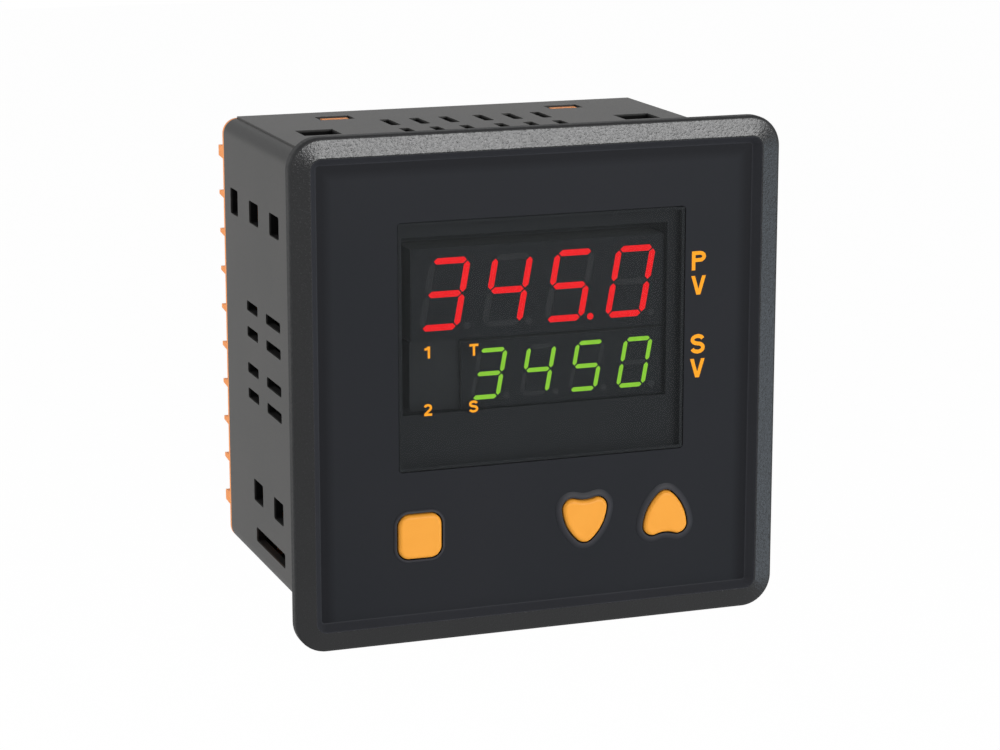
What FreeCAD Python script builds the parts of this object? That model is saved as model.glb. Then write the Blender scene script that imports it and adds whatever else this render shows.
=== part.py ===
import FreeCAD, Part
import math
import os
import re
import Sketcher
from FreeCAD import Placement, Rotation, Vector

# A 96 x 96 mm panel-mount temperature controller, in millimetres.
# X runs to the right seen from the front, Y runs back into the panel and Z runs up.
# The origin is on the case's axis, in the plane of the bezel's rear face, which seats on the panel.

os.makedirs("parts", exist_ok=True)
doc = FreeCAD.newDocument("temperature_controller")

SIZES = {
    # bezel: a moulded frame with a sunk face
    "bezel_side": 96.0,
    "bezel_corner": 6.0,
    "bezel_drop": 0.5,
    "rim_depth": 2.15,
    "frame_width": 4.05,
    "bevel_rise": 0.7,
    "lip_land": 0.4,
    "rim_edge_round": 0.7,
    "lip_round": 0.25,
    "face_sink": 1.95,
    "face_corner": 1.8,
    "bezel_plate": 2.3,
    "skirt_length": 14.0,
    "skirt_wall": 1.8,
    # case: a square tube with a raised flat on its top and bottom
    "case_width": 88.6,
    "case_height": 86.0,
    "case_wall": 1.7,
    "case_corner": 3.0,
    "case_bore_corner": 1.4,
    "case_depth": 58.0,
    "flat_inset": 2.8,
    "flat_rise": 0.4,
    "case_locating_depth": 0.3,
    "case_fit": 0.2,
    "case_end_gap": 0.05,
    # slots for the mounting clamps, in the side walls
    "clamp_slot_length": 6.6,
    "clamp_slot_height": 4.35,
    "clamp_slot_level": 27.6,
    "clamp_slot_first": 21.8,
    "clamp_slot_pitch": 14.5,
    "rear_slot_length": 5.5,
    "rear_slot_height": 5.1,
    "slot_corner": 0.5,
    # side vents
    "side_vent_height": 2.0,
    "side_vent_inner": 3.6,
    "side_vent_outer": 8.7,
    "front_vent_middle": 23.6,
    "front_vent_length": 10.1,
    "back_vent_middle": 38.6,
    "back_vent_length": 7.8,
    "low_slot_rise": 6.6,
    "low_slot_height": 2.9,
    "low_slot_middle": 28.0,
    "low_slot_length": 20.6,
    # vents through the top and bottom, in two groups of three
    "top_vent_width": 2.0,
    "top_vent_length": 8.3,
    "top_vent_pitch": 6.05,
    "top_vent_group_gap": 7.1,
    "top_vent_front_row": 27.4,
    "top_vent_back_row": 40.0,
    # bezel latches
    "latch_offset": 32.6,
    "latch_width": 6.8,
    "latch_root": 3.0,
    "latch_reach": 34.3,
    "latch_wall": 1.5,
    "latch_hook_length": 5.8,
    "latch_ramp_length": 3.4,
    "latch_hook_rise": 1.3,
    "latch_gap": 0.2,
    "latch_window_side_gap": 0.3,
    "latch_window_end_gap": 0.6,
    # overlay film with raised collars around the keys
    "film_gap": 0.15,
    "film_depth": 0.25,
    "collar_rise": 0.3,
    "collar_width": 1.2,
    "mode_collar_width": 0.6,
    "collar_slope": 0.85,
    "mode_collar_slope": 0.35,
    "collar_slope_drop": 0.26,
    "collar_round": 0.45,
    # display window
    "window_left": -27.5,
    "window_right": 29.4,
    "window_bottom": -15.9,
    "window_top": 31.0,
    "window_corner": 0.8,
    "window_fit": 0.1,
    "window_flange": 1.5,
    "window_flange_depth": 1.0,
    "window_pane": 1.7,
    "window_rebate_wall": 1.2,
    # keys
    "key_level": -28.2,
    "mode_key_place": -23.6,
    "down_key_place": 9.3,
    "up_key_place": 25.8,
    "mode_key_side": 8.5,
    "mode_key_corner": 2.2,
    "arrow_half_width": 4.45,
    "arrow_half_height": 4.3,
    "arrow_lobe": 1.9,
    "arrow_tip": 2.05,
    "arrow_flank": 9.0,
    "arrow_back": 5.8,
    "key_gap": 0.25,
    "key_proud": 0.85,
    "key_round": 0.8,
    "key_flange": 1.0,
    "key_flange_depth": 1.1,
    "key_flange_gap": 0.05,
    "key_travel": 0.5,
    "key_stem": 1.6,
    # key switches
    "switch_side": 6.0,
    "switch_height": 3.4,
    "plunger_radius": 1.75,
    "plunger_reach": 1.5,
    "plunger_seat": 0.8,
    "plunger_fit": 0.1,
    "plunger_bottom_gap": 0.3,
    # display board on bosses in the bezel
    "board_depth": 1.6,
    "display_board_gap": 0.5,
    "display_board_level": 9.5,
    "display_board_corner": 1.5,
    "boss_inset": 3.0,
    "boss_radius": 2.6,
    "boss_pilot": 1.3,
    "boss_pilot_depth": 5.5,
    "screw_hole_gap": 0.3,
    "board_screw_radius": 1.25,
    "board_screw_length": 6.0,
    "board_screw_head": 2.2,
    "board_screw_head_height": 1.6,
    "board_screw_slot": 0.6,
    # digit modules
    "module_height": 8.0,
    "pv_middle": 0.9,
    "pv_level": 16.75,
    "pv_width": 50.2,
    "pv_body_height": 17.4,
    "pv_pitch": 12.3,
    "pv_digit_height": 13.6,
    "pv_digit_width": 8.0,
    "pv_stroke": 1.2,
    "sv_middle": 5.7,
    "sv_level": 1.1,
    "sv_width": 40.2,
    "sv_body_height": 12.8,
    "sv_pitch": 9.75,
    "sv_digit_height": 9.7,
    "sv_digit_width": 5.85,
    "sv_stroke": 0.85,
    "digit_count": 4,
    "digit_lean": 0.18,
    "segment_sink": 0.2,
    "segment_gap": 0.2,
    "point_radius": 0.65,
    "point_offset": 1.35,
    # indicator lamps in a baffle
    "baffle_middle": -19.5,
    "baffle_level": 1.0,
    "baffle_width": 8.6,
    "baffle_tall": 13.0,
    "baffle_height": 7.0,
    "lamp_spread_x": 4.2,
    "lamp_spread_z": 8.0,
    "lamp_well": 1.4,
    "lamp_length": 2.0,
    "lamp_width": 1.25,
    "lamp_height": 0.8,
    # upright boards
    "side_board_inset": 9.5,
    "side_board_front_gap": 2.3,
    "side_board_back_gap": 0.3,
    "side_board_room": 3.0,
    "header_length": 30.0,
    "header_depth": 6.0,
    "header_width": 2.5,
    # terminal cover
    "cover_flange": 0.9,
    "plug_depth": 3.4,
    "plug_fit": 0.2,
    "terminal_count": 9,
    "terminal_pitch": 7.7,
    "terminal_middle": 0.95,
    "terminal_inset": 5.1,
    "rib_reach": 3.3,
    "rib_root": 1.5,
    "rib_tip": 0.8,
    "end_rib_root": 2.6,
    "end_rib_tip": 2.1,
    "end_rib_extra": 0.7,
    "rib_length": 10.4,
    "barrier_wall": 1.2,
    "cover_tab_offset": 24.0,
    "cover_tab_width": 5.4,
    "cover_tab_wall": 1.4,
    "cover_tab_reach": 9.6,
    "cover_hook_setback": 10.4,
    "cover_hook_length": 2.9,
    "cover_ramp_length": 1.4,
    "cover_hook_rise": 1.7,
    "cover_window_side_gap": 0.8,
    "cover_window_front_gap": 0.4,
    "cover_window_back_gap": 1.3,
    "guide_reach": 14.5,
    "guide_outer_wall": 3.2,
    "guide_inner_wall": 2.2,
    "guide_height": 4.0,
    "guide_fit": 0.1,
    "rail_reach": 26.3,
    "rail_side_gap": 1.1,
    "rail_end_gap": 4.2,
    "rail_width": 3.5,
    "rail_height": 4.0,
    # terminals
    "lug_depth": 0.8,
    "lug_width": 5.6,
    "lug_edge": 1.7,
    "lug_leg_width": 3.0,
    "lug_leg_reach": 9.5,
    "lug_slot_gap": 0.2,
    "clamp_side": 5.6,
    "clamp_depth": 0.8,
    "terminal_screw_radius": 1.5,
    "terminal_screw_gap": 0.1,
    "terminal_screw_length": 5.0,
    "terminal_well_gap": 0.3,
    "terminal_head_radius": 2.6,
    "terminal_head_height": 1.5,
    "terminal_head_slot": 0.7,
    "terminal_head_slot_depth": 0.7,
    # parts on the power board
    "core_width": 16.0,
    "core_length": 20.0,
    "core_tall": 20.0,
    "core_leg": 3.6,
    "core_front": 24.0,
    "core_level": -14.0,
    "bobbin_base": 1.5,
    "winding_gap": 0.4,
    "capacitor_radius": 5.0,
    "capacitor_length": 17.0,
    "capacitor_front": 26.0,
    "capacitor_level": 6.0,
    "capacitor_bead": 0.4,
    "relay_length": 19.0,
    "relay_tall": 15.2,
    "relay_width": 15.4,
    "relay_round": 0.8,
    "output_relay_front": 28.5,
    "output_relay_level": 25.0,
    "alarm_relay_front": 28.5,
    "alarm_relay_level": 22.0,
    "fuse_radius": 2.6,
    "fuse_length": 9.0,
    "fuse_front": 38.5,
    "fuse_level": 8.0,
    "varistor_radius": 3.8,
    "varistor_depth": 3.6,
    "varistor_front": 42.5,
    "varistor_level": 0.6,
    "rectifier_length": 8.2,
    "rectifier_tall": 6.4,
    "rectifier_width": 2.6,
    "rectifier_front": 25.0,
    "rectifier_level": -30.0,
    # parts on the control board
    "processor_side": 12.0,
    "processor_width": 1.5,
    "processor_front": 22.0,
    "processor_level": -6.0,
    "crystal_length": 11.0,
    "crystal_tall": 4.6,
    "crystal_width": 3.5,
    "crystal_corner": 2.1,
    "crystal_front": 22.5,
    "crystal_level": 5.0,
    "amplifier_length": 10.0,
    "amplifier_tall": 6.2,
    "amplifier_width": 2.2,
    "amplifier_front": 38.0,
    "amplifier_level": -20.0,
}

sheet = doc.addObject("Spreadsheet::Sheet", "Sizes")
for row, (alias, size) in enumerate(SIZES.items(), start=1):
    sheet.set(f"A{row}", alias)
    sheet.set(f"B{row}", str(size))
    sheet.setAlias(f"B{row}", alias)
doc.recompute()

WORD = re.compile(r"[a-z][a-z_]*")


def linked(text):
    """The same sum with each size named as a cell of the sheet."""
    return WORD.sub(lambda word: "Sizes." + word.group(), text)


def amount(text):
    """What the sum comes to now."""
    return FreeCAD.Units.Quantity(WORD.sub(lambda word: str(SIZES[word.group()]), text)).Value


# Levels and outlines that several pieces share, written once as sums of the sizes.
CASE_FRONT = "(case_end_gap - case_locating_depth)"
FACE_LEVEL = "(face_sink - rim_depth - bevel_rise)"
PLATE_BACK = f"({FACE_LEVEL} + bezel_plate)"
FILM_FRONT = f"({FACE_LEVEL} - film_depth)"
BORE_HALF_WIDTH = "(case_width / 2 - case_wall)"
BORE_HALF_HEIGHT = "(case_height / 2 + flat_rise - case_wall)"
SKIRT_HALF_WIDTH = f"({BORE_HALF_WIDTH} - case_fit)"
SKIRT_HALF_HEIGHT = f"({BORE_HALF_HEIGHT} - case_fit)"
BOARD_FRONT = "display_board_level"
BOARD_BACK = "(display_board_level + board_depth)"
MODULE_FRONT = "(display_board_level - module_height)"
KEY_FRONT = f"({FILM_FRONT} - key_proud)"
KEY_FLANGE_FRONT = f"({PLATE_BACK} + key_flange_gap)"
KEY_FLANGE_BACK = f"({KEY_FLANGE_FRONT} + key_flange_depth)"
SWITCH_FRONT = "(display_board_level - switch_height)"
PLUNGER_FRONT = f"({SWITCH_FRONT} - plunger_reach)"
PLUNGER_BACK = f"({SWITCH_FRONT} + plunger_seat)"
SWITCH_WELL = "(plunger_seat + key_travel + plunger_bottom_gap)"
PLUG_FRONT = "(case_depth - plug_depth)"
COVER_BACK = "(case_depth + cover_flange)"
RIB_BACK = f"({COVER_BACK} + rib_reach)"
LUG_BACK = f"({COVER_BACK} + lug_depth)"
CLAMP_BACK = f"({LUG_BACK} + clamp_depth)"
BOARD_HALF_WIDTH = f"({SKIRT_HALF_WIDTH} - skirt_wall - display_board_gap)"
BOARD_HALF_HEIGHT = f"({SKIRT_HALF_HEIGHT} - skirt_wall - display_board_gap)"
BOSS_X = f"({BOARD_HALF_WIDTH} - boss_inset)"
BOSS_Z = f"({BOARD_HALF_HEIGHT} - boss_inset)"
SIDE_BOARD_FRONT = f"({BOARD_BACK} + side_board_front_gap)"
SIDE_BOARD_BACK = f"({PLUG_FRONT} - side_board_back_gap)"
SIDE_BOARD_INNER = "(case_width / 2 - side_board_inset)"
SIDE_BOARD_OUTER = f"({SIDE_BOARD_INNER} + board_depth)"
SIDE_BOARD_HALF = f"({BORE_HALF_HEIGHT} - side_board_room)"
TERMINAL_X = "(case_width / 2 - terminal_inset)"
LUG_OUTER = "(case_width / 2 - lug_edge)"
LUG_INNER = f"({SIDE_BOARD_INNER} - lug_depth)"
LUG_LEG_FRONT = "(case_depth - lug_leg_reach)"
COVER_HOOK_FRONT = "(case_depth - cover_hook_setback)"


# ---- small helpers -----------------------------------------------------------------


def bind(thing, prop, text):
    thing.setExpression(prop, linked(text))


def new_body(name):
    body = doc.addObject("PartDesign::Body", name)
    body.Label = name
    return body


def new_sketch(body, name, plane, level):
    """A sketch on one of the body's own origin planes, lifted along the plane's normal."""
    sketch = body.newObject("Sketcher::SketchObject", name)
    support = [p for p in body.Origin.OriginFeatures if p.Role == plane][0]
    sketch.AttachmentSupport = [(support, "")]
    sketch.MapMode = "FlatFace"
    bind(sketch, "AttachmentOffset.Base.z", level)
    return sketch


def fix(sketch, kind, geometry, point, text):
    """Hold a point's distance from the sketch's origin, or a radius, at a size."""
    now = amount(text)
    if kind == "Radius":
        place = sketch.addConstraint(Sketcher.Constraint(kind, geometry, now))
    else:
        place = sketch.addConstraint(Sketcher.Constraint(kind, geometry, point, now))
    sketch.setExpression(f"Constraints[{place}]", linked(text))


def line(sketch, start, end):
    return sketch.addGeometry(Part.LineSegment(Vector(*start, 0), Vector(*end, 0)), False)


def arc(sketch, centre, radius, first, last):
    circle = Part.Circle(Vector(*centre, 0), Vector(0, 0, 1), radius)
    return sketch.addGeometry(Part.ArcOfCircle(circle, first, last), False)


def polygon(sketch, corners):
    """A closed outline through corners given as pairs of sums."""
    points = [(amount(u), amount(v)) for u, v in corners]
    count = len(points)
    sides = [line(sketch, points[i], points[(i + 1) % count]) for i in range(count)]
    for i in range(count):
        after = sides[(i + 1) % count]
        sketch.addConstraint(Sketcher.Constraint("Coincident", sides[i], 2, after, 1))
    for side, (u, v) in zip(sides, corners):
        fix(sketch, "DistanceX", side, 1, u)
        fix(sketch, "DistanceY", side, 1, v)


def rectangle(sketch, left, right, low, high):
    polygon(sketch, [(left, low), (right, low), (right, high), (left, high)])


def rounded(sketch, left, right, low, high, corner):
    """A rectangle whose four corners share one radius."""
    x0, x1, y0, y1, r = (amount(text) for text in (left, right, low, high, corner))
    quarter = math.pi / 2
    bottom = line(sketch, (x0 + r, y0), (x1 - r, y0))
    side_b = line(sketch, (x1, y0 + r), (x1, y1 - r))
    top = line(sketch, (x1 - r, y1), (x0 + r, y1))
    side_a = line(sketch, (x0, y1 - r), (x0, y0 + r))
    corners = [
        arc(sketch, (x1 - r, y0 + r), r, 3 * quarter, 4 * quarter),
        arc(sketch, (x1 - r, y1 - r), r, 0, quarter),
        arc(sketch, (x0 + r, y1 - r), r, quarter, 2 * quarter),
        arc(sketch, (x0 + r, y0 + r), r, 2 * quarter, 3 * quarter),
    ]
    order = [bottom, side_b, top, side_a]
    for i in range(4):
        after = order[(i + 1) % 4]
        sketch.addConstraint(Sketcher.Constraint("Tangent", order[i], 2, corners[i], 1))
        sketch.addConstraint(Sketcher.Constraint("Tangent", corners[i], 2, after, 1))
    for other in corners[1:]:
        sketch.addConstraint(Sketcher.Constraint("Equal", corners[0], other))
    sketch.addConstraint(Sketcher.Constraint("Horizontal", bottom))
    sketch.addConstraint(Sketcher.Constraint("Vertical", side_b))
    fix(sketch, "DistanceX", side_a, 1, left)
    fix(sketch, "DistanceX", side_b, 1, right)
    fix(sketch, "DistanceY", bottom, 1, low)
    fix(sketch, "DistanceY", top, 1, high)
    fix(sketch, "Radius", corners[0], 0, corner)


def centred(sketch, half_width, half_height, corner):
    rounded(sketch, f"-1 * {half_width}", half_width, f"-1 * {half_height}", half_height, corner)


def dropped(sketch, half, corner):
    """A rounded square on the bezel's own middle, just below the case's axis."""
    rounded(sketch, f"-1 * {half}", half, f"-1 * {half} - bezel_drop", f"{half} - bezel_drop", corner)


def circle(sketch, u, v, radius):
    shape = Part.Circle(Vector(amount(u), amount(v), 0), Vector(0, 0, 1), amount(radius))
    ring = sketch.addGeometry(shape, False)
    fix(sketch, "DistanceX", ring, 3, u)
    fix(sketch, "DistanceY", ring, 3, v)
    fix(sketch, "Radius", ring, 0, radius)


def arrow(sketch, place, level, points_up, offset):
    """A rounded arrowhead with bowed flanks and a hollow back, grown all round by offset."""
    way = -1 if points_up else 1
    x, z = amount(place), amount(level)
    lobe, tip = amount("arrow_lobe"), amount("arrow_tip")
    lobe_x = amount("arrow_half_width - arrow_lobe")
    lobe_z = amount("arrow_half_height - arrow_lobe")
    tip_z = amount("arrow_tip - arrow_half_height")
    flank, back = amount("arrow_flank"), amount("arrow_back")
    grown = amount(offset)

    def spot(u, v):
        return (x + way * u, z + way * v)

    def flank_centre(side):
        """Where a flank's arc is centred so that it wraps a lobe and the tip."""
        near, far = flank - lobe, flank - tip
        span = math.hypot(lobe_x, lobe_z - tip_z)
        along = (far**2 - near**2 + span**2) / (2 * span)
        away = math.sqrt(far**2 - along**2)
        unit = (lobe_x / span, (lobe_z - tip_z) / span)
        return (side * (unit[0] * along - unit[1] * away), tip_z + unit[1] * along + unit[0] * away)

    def bearing(centre, target):
        return math.atan2(target[1] - centre[1], target[0] - centre[0])

    lobes = {side: (side * lobe_x, lobe_z) for side in (-1, 1)}
    flanks = {side: flank_centre(side) for side in (-1, 1)}
    tip_at = (0, tip_z)
    hollow_at = (0, lobe_z + math.sqrt((back + lobe) ** 2 - lobe_x**2))
    turn = math.pi if points_up else 0.0

    def piece(centre, radius, first, last):
        while last < first:
            last += 2 * math.pi
        return arc(sketch, spot(*centre), radius, first + turn, last + turn)

    right_lobe = piece(
        lobes[1], lobe + grown, bearing(flanks[1], lobes[1]), bearing(lobes[1], hollow_at)
    )
    back_arc = piece(
        hollow_at, back - grown, bearing(hollow_at, lobes[-1]), bearing(hollow_at, lobes[1])
    )
    left_lobe = piece(
        lobes[-1], lobe + grown, bearing(lobes[-1], hollow_at), bearing(flanks[-1], lobes[-1])
    )
    left_flank = piece(
        flanks[-1], flank + grown, bearing(flanks[-1], lobes[-1]), bearing(flanks[-1], tip_at)
    )
    tip_arc = piece(tip_at, tip + grown, bearing(flanks[-1], tip_at), bearing(flanks[1], tip_at))
    right_flank = piece(
        flanks[1], flank + grown, bearing(flanks[1], tip_at), bearing(flanks[1], lobes[1])
    )
    joins = [
        (right_lobe, 2, back_arc, 2),
        (back_arc, 1, left_lobe, 1),
        (left_lobe, 2, left_flank, 1),
        (left_flank, 2, tip_arc, 1),
        (tip_arc, 2, right_flank, 1),
        (right_flank, 2, right_lobe, 1),
    ]
    for one, end_one, two, end_two in joins:
        sketch.addConstraint(Sketcher.Constraint("Tangent", one, end_one, two, end_two))
    sign = "-1" if points_up else "1"
    fix(sketch, "Radius", right_lobe, 0, f"arrow_lobe + {offset}")
    fix(sketch, "Radius", left_lobe, 0, f"arrow_lobe + {offset}")
    fix(sketch, "Radius", back_arc, 0, f"arrow_back - {offset}")
    fix(sketch, "Radius", tip_arc, 0, f"arrow_tip + {offset}")
    fix(sketch, "Radius", right_flank, 0, f"arrow_flank + {offset}")
    fix(sketch, "Radius", left_flank, 0, f"arrow_flank + {offset}")
    fix(sketch, "DistanceX", right_lobe, 3, f"{place} + {sign} * (arrow_half_width - arrow_lobe)")
    fix(sketch, "DistanceY", right_lobe, 3, f"{level} + {sign} * (arrow_half_height - arrow_lobe)")
    fix(sketch, "DistanceX", left_lobe, 3, f"{place} - {sign} * (arrow_half_width - arrow_lobe)")
    fix(sketch, "DistanceY", left_lobe, 3, f"{level} + {sign} * (arrow_half_height - arrow_lobe)")
    fix(sketch, "DistanceX", tip_arc, 3, place)
    fix(sketch, "DistanceY", tip_arc, 3, f"{level} - {sign} * (arrow_half_height - arrow_tip)")


def slab(body, name, front, back, outline, *sizes):
    """A plate square to Y between two levels."""
    sketch = new_sketch(body, f"{name}_outline", "XZ_Plane", f"-1 * {front}")
    outline(sketch, *sizes)
    pad = body.newObject("PartDesign::Pad", name)
    pad.Profile = sketch
    pad.Reversed = True
    bind(pad, "Length", f"{back} - {front}")
    return pad


def recess(body, name, front, back, outline, *sizes):
    """A cut square to Y between two levels."""
    sketch = new_sketch(body, f"{name}_outline", "XZ_Plane", f"-1 * {front}")
    outline(sketch, *sizes)
    pocket = body.newObject("PartDesign::Pocket", name)
    pocket.Profile = sketch
    bind(pocket, "Length", f"{back} - {front}")
    return pocket


def crossing_cut(body, name, plane, span, outline, *sizes):
    """A cut straight through both walls that face the plane's normal."""
    sketch = new_sketch(body, f"{name}_outline", plane, f"-1 * {span} / 2")
    outline(sketch, *sizes)
    pocket = body.newObject("PartDesign::Pocket", name)
    pocket.Profile = sketch
    pocket.Reversed = True
    bind(pocket, "Length", span)
    return pocket


def strip(body, name, plane, low, width, corners):
    """A bar with a polygon section, laid along the plane's normal."""
    sketch = new_sketch(body, f"{name}_section", plane, low)
    polygon(sketch, corners)
    pad = body.newObject("PartDesign::Pad", name)
    pad.Profile = sketch
    bind(pad, "Length", width)
    return pad


def edges_where(shape, wanted):
    return [f"Edge{i}" for i, edge in enumerate(shape.Edges, start=1) if wanted(edge)]


def flat_at(edge, level):
    """Whether an edge lies in the plane Y = level."""
    box_y = edge.BoundBox
    return abs(box_y.YMin - level) < 1e-4 and abs(box_y.YMax - level) < 1e-4


def soften(body, name, kind, size, wanted):
    """A fillet or an equal chamfer on the edges of the body's last feature that are wanted."""
    doc.recompute()
    last = body.Tip
    chosen = edges_where(last.Shape, wanted)
    feature = body.newObject(f"PartDesign::{kind}", name)
    feature.Base = (last, chosen)
    bind(feature, "Radius" if kind == "Fillet" else "Size", size)
    return feature


def ease(body, name, across, down, wanted):
    """A slope that runs further across the last feature's face than down its wall."""
    doc.recompute()
    last = body.Tip
    chosen = edges_where(last.Shape, wanted)
    feature = body.newObject("PartDesign::Chamfer", name)
    feature.Base = (last, chosen)
    feature.ChamferType = "Two distances"
    feature.FlipDirection = True
    bind(feature, "Size", across)
    bind(feature, "Size2", down)
    return feature


def block(name, x, y, z, dx, dy, dz):
    """A block from its low corner and its three sides."""
    solid = doc.addObject("Part::Box", name)
    for prop, text in zip(("Length", "Width", "Height"), (dx, dy, dz)):
        bind(solid, prop, text)
    for axis, text in zip("xyz", (x, y, z)):
        bind(solid, f"Placement.Base.{axis}", text)
    return solid


TURNS = {
    "X": Rotation(Vector(0, 1, 0), 90),
    "Y": Rotation(Vector(1, 0, 0), -90),
    "Z": Rotation(),
}


def rod(name, axis, x, y, z, radius, length):
    """A cylinder from the middle of its low end, along one axis."""
    solid = doc.addObject("Part::Cylinder", name)
    solid.Placement = Placement(Vector(), TURNS[axis])
    bind(solid, "Radius", radius)
    bind(solid, "Height", length)
    for way, text in zip("xyz", (x, y, z)):
        bind(solid, f"Placement.Base.{way}", text)
    return solid


def joined(name, solids):
    whole = doc.addObject("Part::MultiFuse", name)
    whole.Shapes = solids
    whole.Refine = True
    return whole


def less(name, base, tool):
    rest = doc.addObject("Part::Cut", name)
    rest.Base = base
    rest.Tool = tool
    return rest


def grouped(name, solids):
    """Several separate solids of one kind, kept as one node."""
    group = doc.addObject("Part::Compound", name)
    group.Links = solids
    return group


def smooth(name, base, radius, wanted):
    """A fillet on a solid made of primitives."""
    doc.recompute()
    now = amount(radius)
    fillet = doc.addObject("Part::Fillet", name)
    fillet.Base = base
    edges = [i for i, edge in enumerate(base.Shape.Edges, start=1) if wanted(edge)]
    fillet.Edges = [(i, now, now) for i in edges]
    return fillet


def runs_along(axis):
    def check(edge):
        if len(edge.Vertexes) < 2:
            return False
        way = edge.Vertexes[-1].Point - edge.Vertexes[0].Point
        return way.Length > 1e-6 and abs(abs(way.normalize().dot(axis)) - 1) < 1e-6

    return check


# ---- front of the housing ------------------------------------------------------------


def key_outlines(offset):
    """The three key shapes, each with its outline function and arguments."""
    half = f"(mode_key_side / 2 + {offset})"
    return {
        "mode": (
            rounded,
            f"mode_key_place - {half}",
            f"mode_key_place + {half}",
            f"key_level - {half}",
            f"key_level + {half}",
            f"mode_key_corner + {offset}",
        ),
        "down": (arrow, "down_key_place", "key_level", False, offset),
        "up": (arrow, "up_key_place", "key_level", True, offset),
    }


def window_outline(gap, corner):
    return (
        rounded,
        f"window_left - ({gap})",
        f"window_right + ({gap})",
        f"window_bottom - ({gap})",
        f"window_top + ({gap})",
        corner,
    )


def make_front_bezel():
    body = new_body("front_bezel")
    rim_front = "(0 - rim_depth - bevel_rise)"
    half = "(bezel_side / 2)"
    slab(body, "frame", rim_front, "0", dropped, half, "bezel_corner")

    doc.recompute()
    front = amount(rim_front)
    frame = doc.getObject("frame")
    chosen = edges_where(frame.Shape, lambda edge: flat_at(edge, front))
    bevel = body.newObject("PartDesign::Chamfer", "bevel")
    bevel.Base = (frame, chosen)
    bevel.ChamferType = "Two distances"
    bind(bevel, "Size", "bevel_rise")
    bind(bevel, "Size2", "frame_width - lip_land")
    rim = amount("0 - rim_depth")
    soften(body, "rim_rounding", "Fillet", "rim_edge_round", lambda edge: flat_at(edge, rim))

    face_half = f"({half} - frame_width)"
    recess(body, "face", rim_front, FACE_LEVEL, dropped, face_half, "face_corner")
    soften(body, "lip_rounding", "Fillet", "lip_round", lambda edge: flat_at(edge, front))

    skirt = (SKIRT_HALF_WIDTH, SKIRT_HALF_HEIGHT, "case_bore_corner")
    slab(body, "skirt", "0", "skirt_length", centred, *skirt)
    recess(
        body,
        "skirt_hollow",
        PLATE_BACK,
        "skirt_length",
        centred,
        f"({SKIRT_HALF_WIDTH} - skirt_wall)",
        f"({SKIRT_HALF_HEIGHT} - skirt_wall)",
        "case_bore_corner",
    )
    add_case_groove(body)
    recess(body, "window_opening", FACE_LEVEL, PLATE_BACK, *window_outline("0", "window_corner"))
    for name, outline in key_outlines("key_gap").items():
        recess(body, f"{name}_opening", FACE_LEVEL, PLATE_BACK, *outline)
    add_bosses(body)
    add_latches(body)
    return body


def add_case_groove(body):
    """The groove in the bezel's back that the case's front edge drops into."""
    start = "(0 - case_locating_depth)"
    sketch = new_sketch(body, "case_groove_outline", "XZ_Plane", f"-1 * {start}")
    outer_width = "(case_width / 2 + case_fit)"
    outer_height = "(case_height / 2 + flat_rise + case_fit)"
    centred(sketch, outer_width, outer_height, "case_corner")
    centred(sketch, SKIRT_HALF_WIDTH, SKIRT_HALF_HEIGHT, "case_bore_corner")
    groove = body.newObject("PartDesign::Pocket", "case_groove")
    groove.Profile = sketch
    bind(groove, "Length", "case_locating_depth")


def add_bosses(body):
    """Four posts that carry the display board, each with a pilot hole."""
    for x_sign in ("-1", "1"):
        for z_sign in ("-1", "1"):
            spot = (f"{x_sign} * {BOSS_X}", f"{z_sign} * {BOSS_Z}")
            label = f"boss_{'l' if x_sign == '-1' else 'r'}{'b' if z_sign == '-1' else 't'}"
            slab(body, label, PLATE_BACK, BOARD_FRONT, circle, *spot, "boss_radius")
            pilot_front = f"({BOARD_FRONT} - boss_pilot_depth)"
            recess(body, f"{label}_pilot", pilot_front, BOARD_FRONT, circle, *spot, "boss_pilot")


def add_latches(body):
    """Four spring arms whose hooks catch in the case's front windows."""
    root = "(skirt_length - latch_root)"
    hook_front = "(latch_reach - latch_hook_length)"
    outer = f"({BORE_HALF_HEIGHT} - latch_gap)"
    inner = f"({outer} - latch_wall)"
    top = f"({outer} + latch_hook_rise)"
    corners = [
        (root, inner),
        ("latch_reach", inner),
        ("latch_reach", outer),
        ("latch_reach - latch_ramp_length", top),
        (hook_front, top),
        (hook_front, outer),
        (root, outer),
    ]
    for side, x_sign in (("left", "-1"), ("right", "1")):
        low = f"{x_sign} * latch_offset - latch_width / 2"
        for edge, z_sign in (("top", "1"), ("bottom", "-1")):
            section = [(u, f"{z_sign} * {v}") for u, v in corners]
            strip(body, f"latch_{side}_{edge}", "YZ_Plane", low, "latch_width", section)


def make_front_overlay():
    body = new_body("front_overlay")
    half = "(bezel_side / 2 - frame_width - film_gap)"
    slab(body, "film", FILM_FRONT, FACE_LEVEL, dropped, half, "face_corner - film_gap")
    widths = {"mode": "mode_collar_width", "down": "collar_width", "up": "collar_width"}
    collar_front = f"({FILM_FRONT} - collar_rise)"
    for name, width in widths.items():
        outline = key_outlines(f"(key_gap + {width})")[name]
        slab(body, f"{name}_collar", collar_front, FILM_FRONT, *outline)
    level = amount(collar_front)
    for name, slope, sign in (("mode", "mode_collar_slope", -1), ("arrow", "collar_slope", 1)):
        ease(
            body,
            f"{name}_collar_slope",
            slope,
            "collar_slope_drop",
            lambda edge: flat_at(edge, level) and sign * edge.BoundBox.Center.x > 0,
        )
    soften(body, "collar_rounding", "Fillet", "collar_round", lambda edge: flat_at(edge, level))
    for name, outline in key_outlines("key_gap").items():
        recess(body, f"{name}_hole", collar_front, FACE_LEVEL, *outline)
    recess(body, "window_hole", FILM_FRONT, FACE_LEVEL, *window_outline("0", "window_corner"))
    return body


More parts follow.
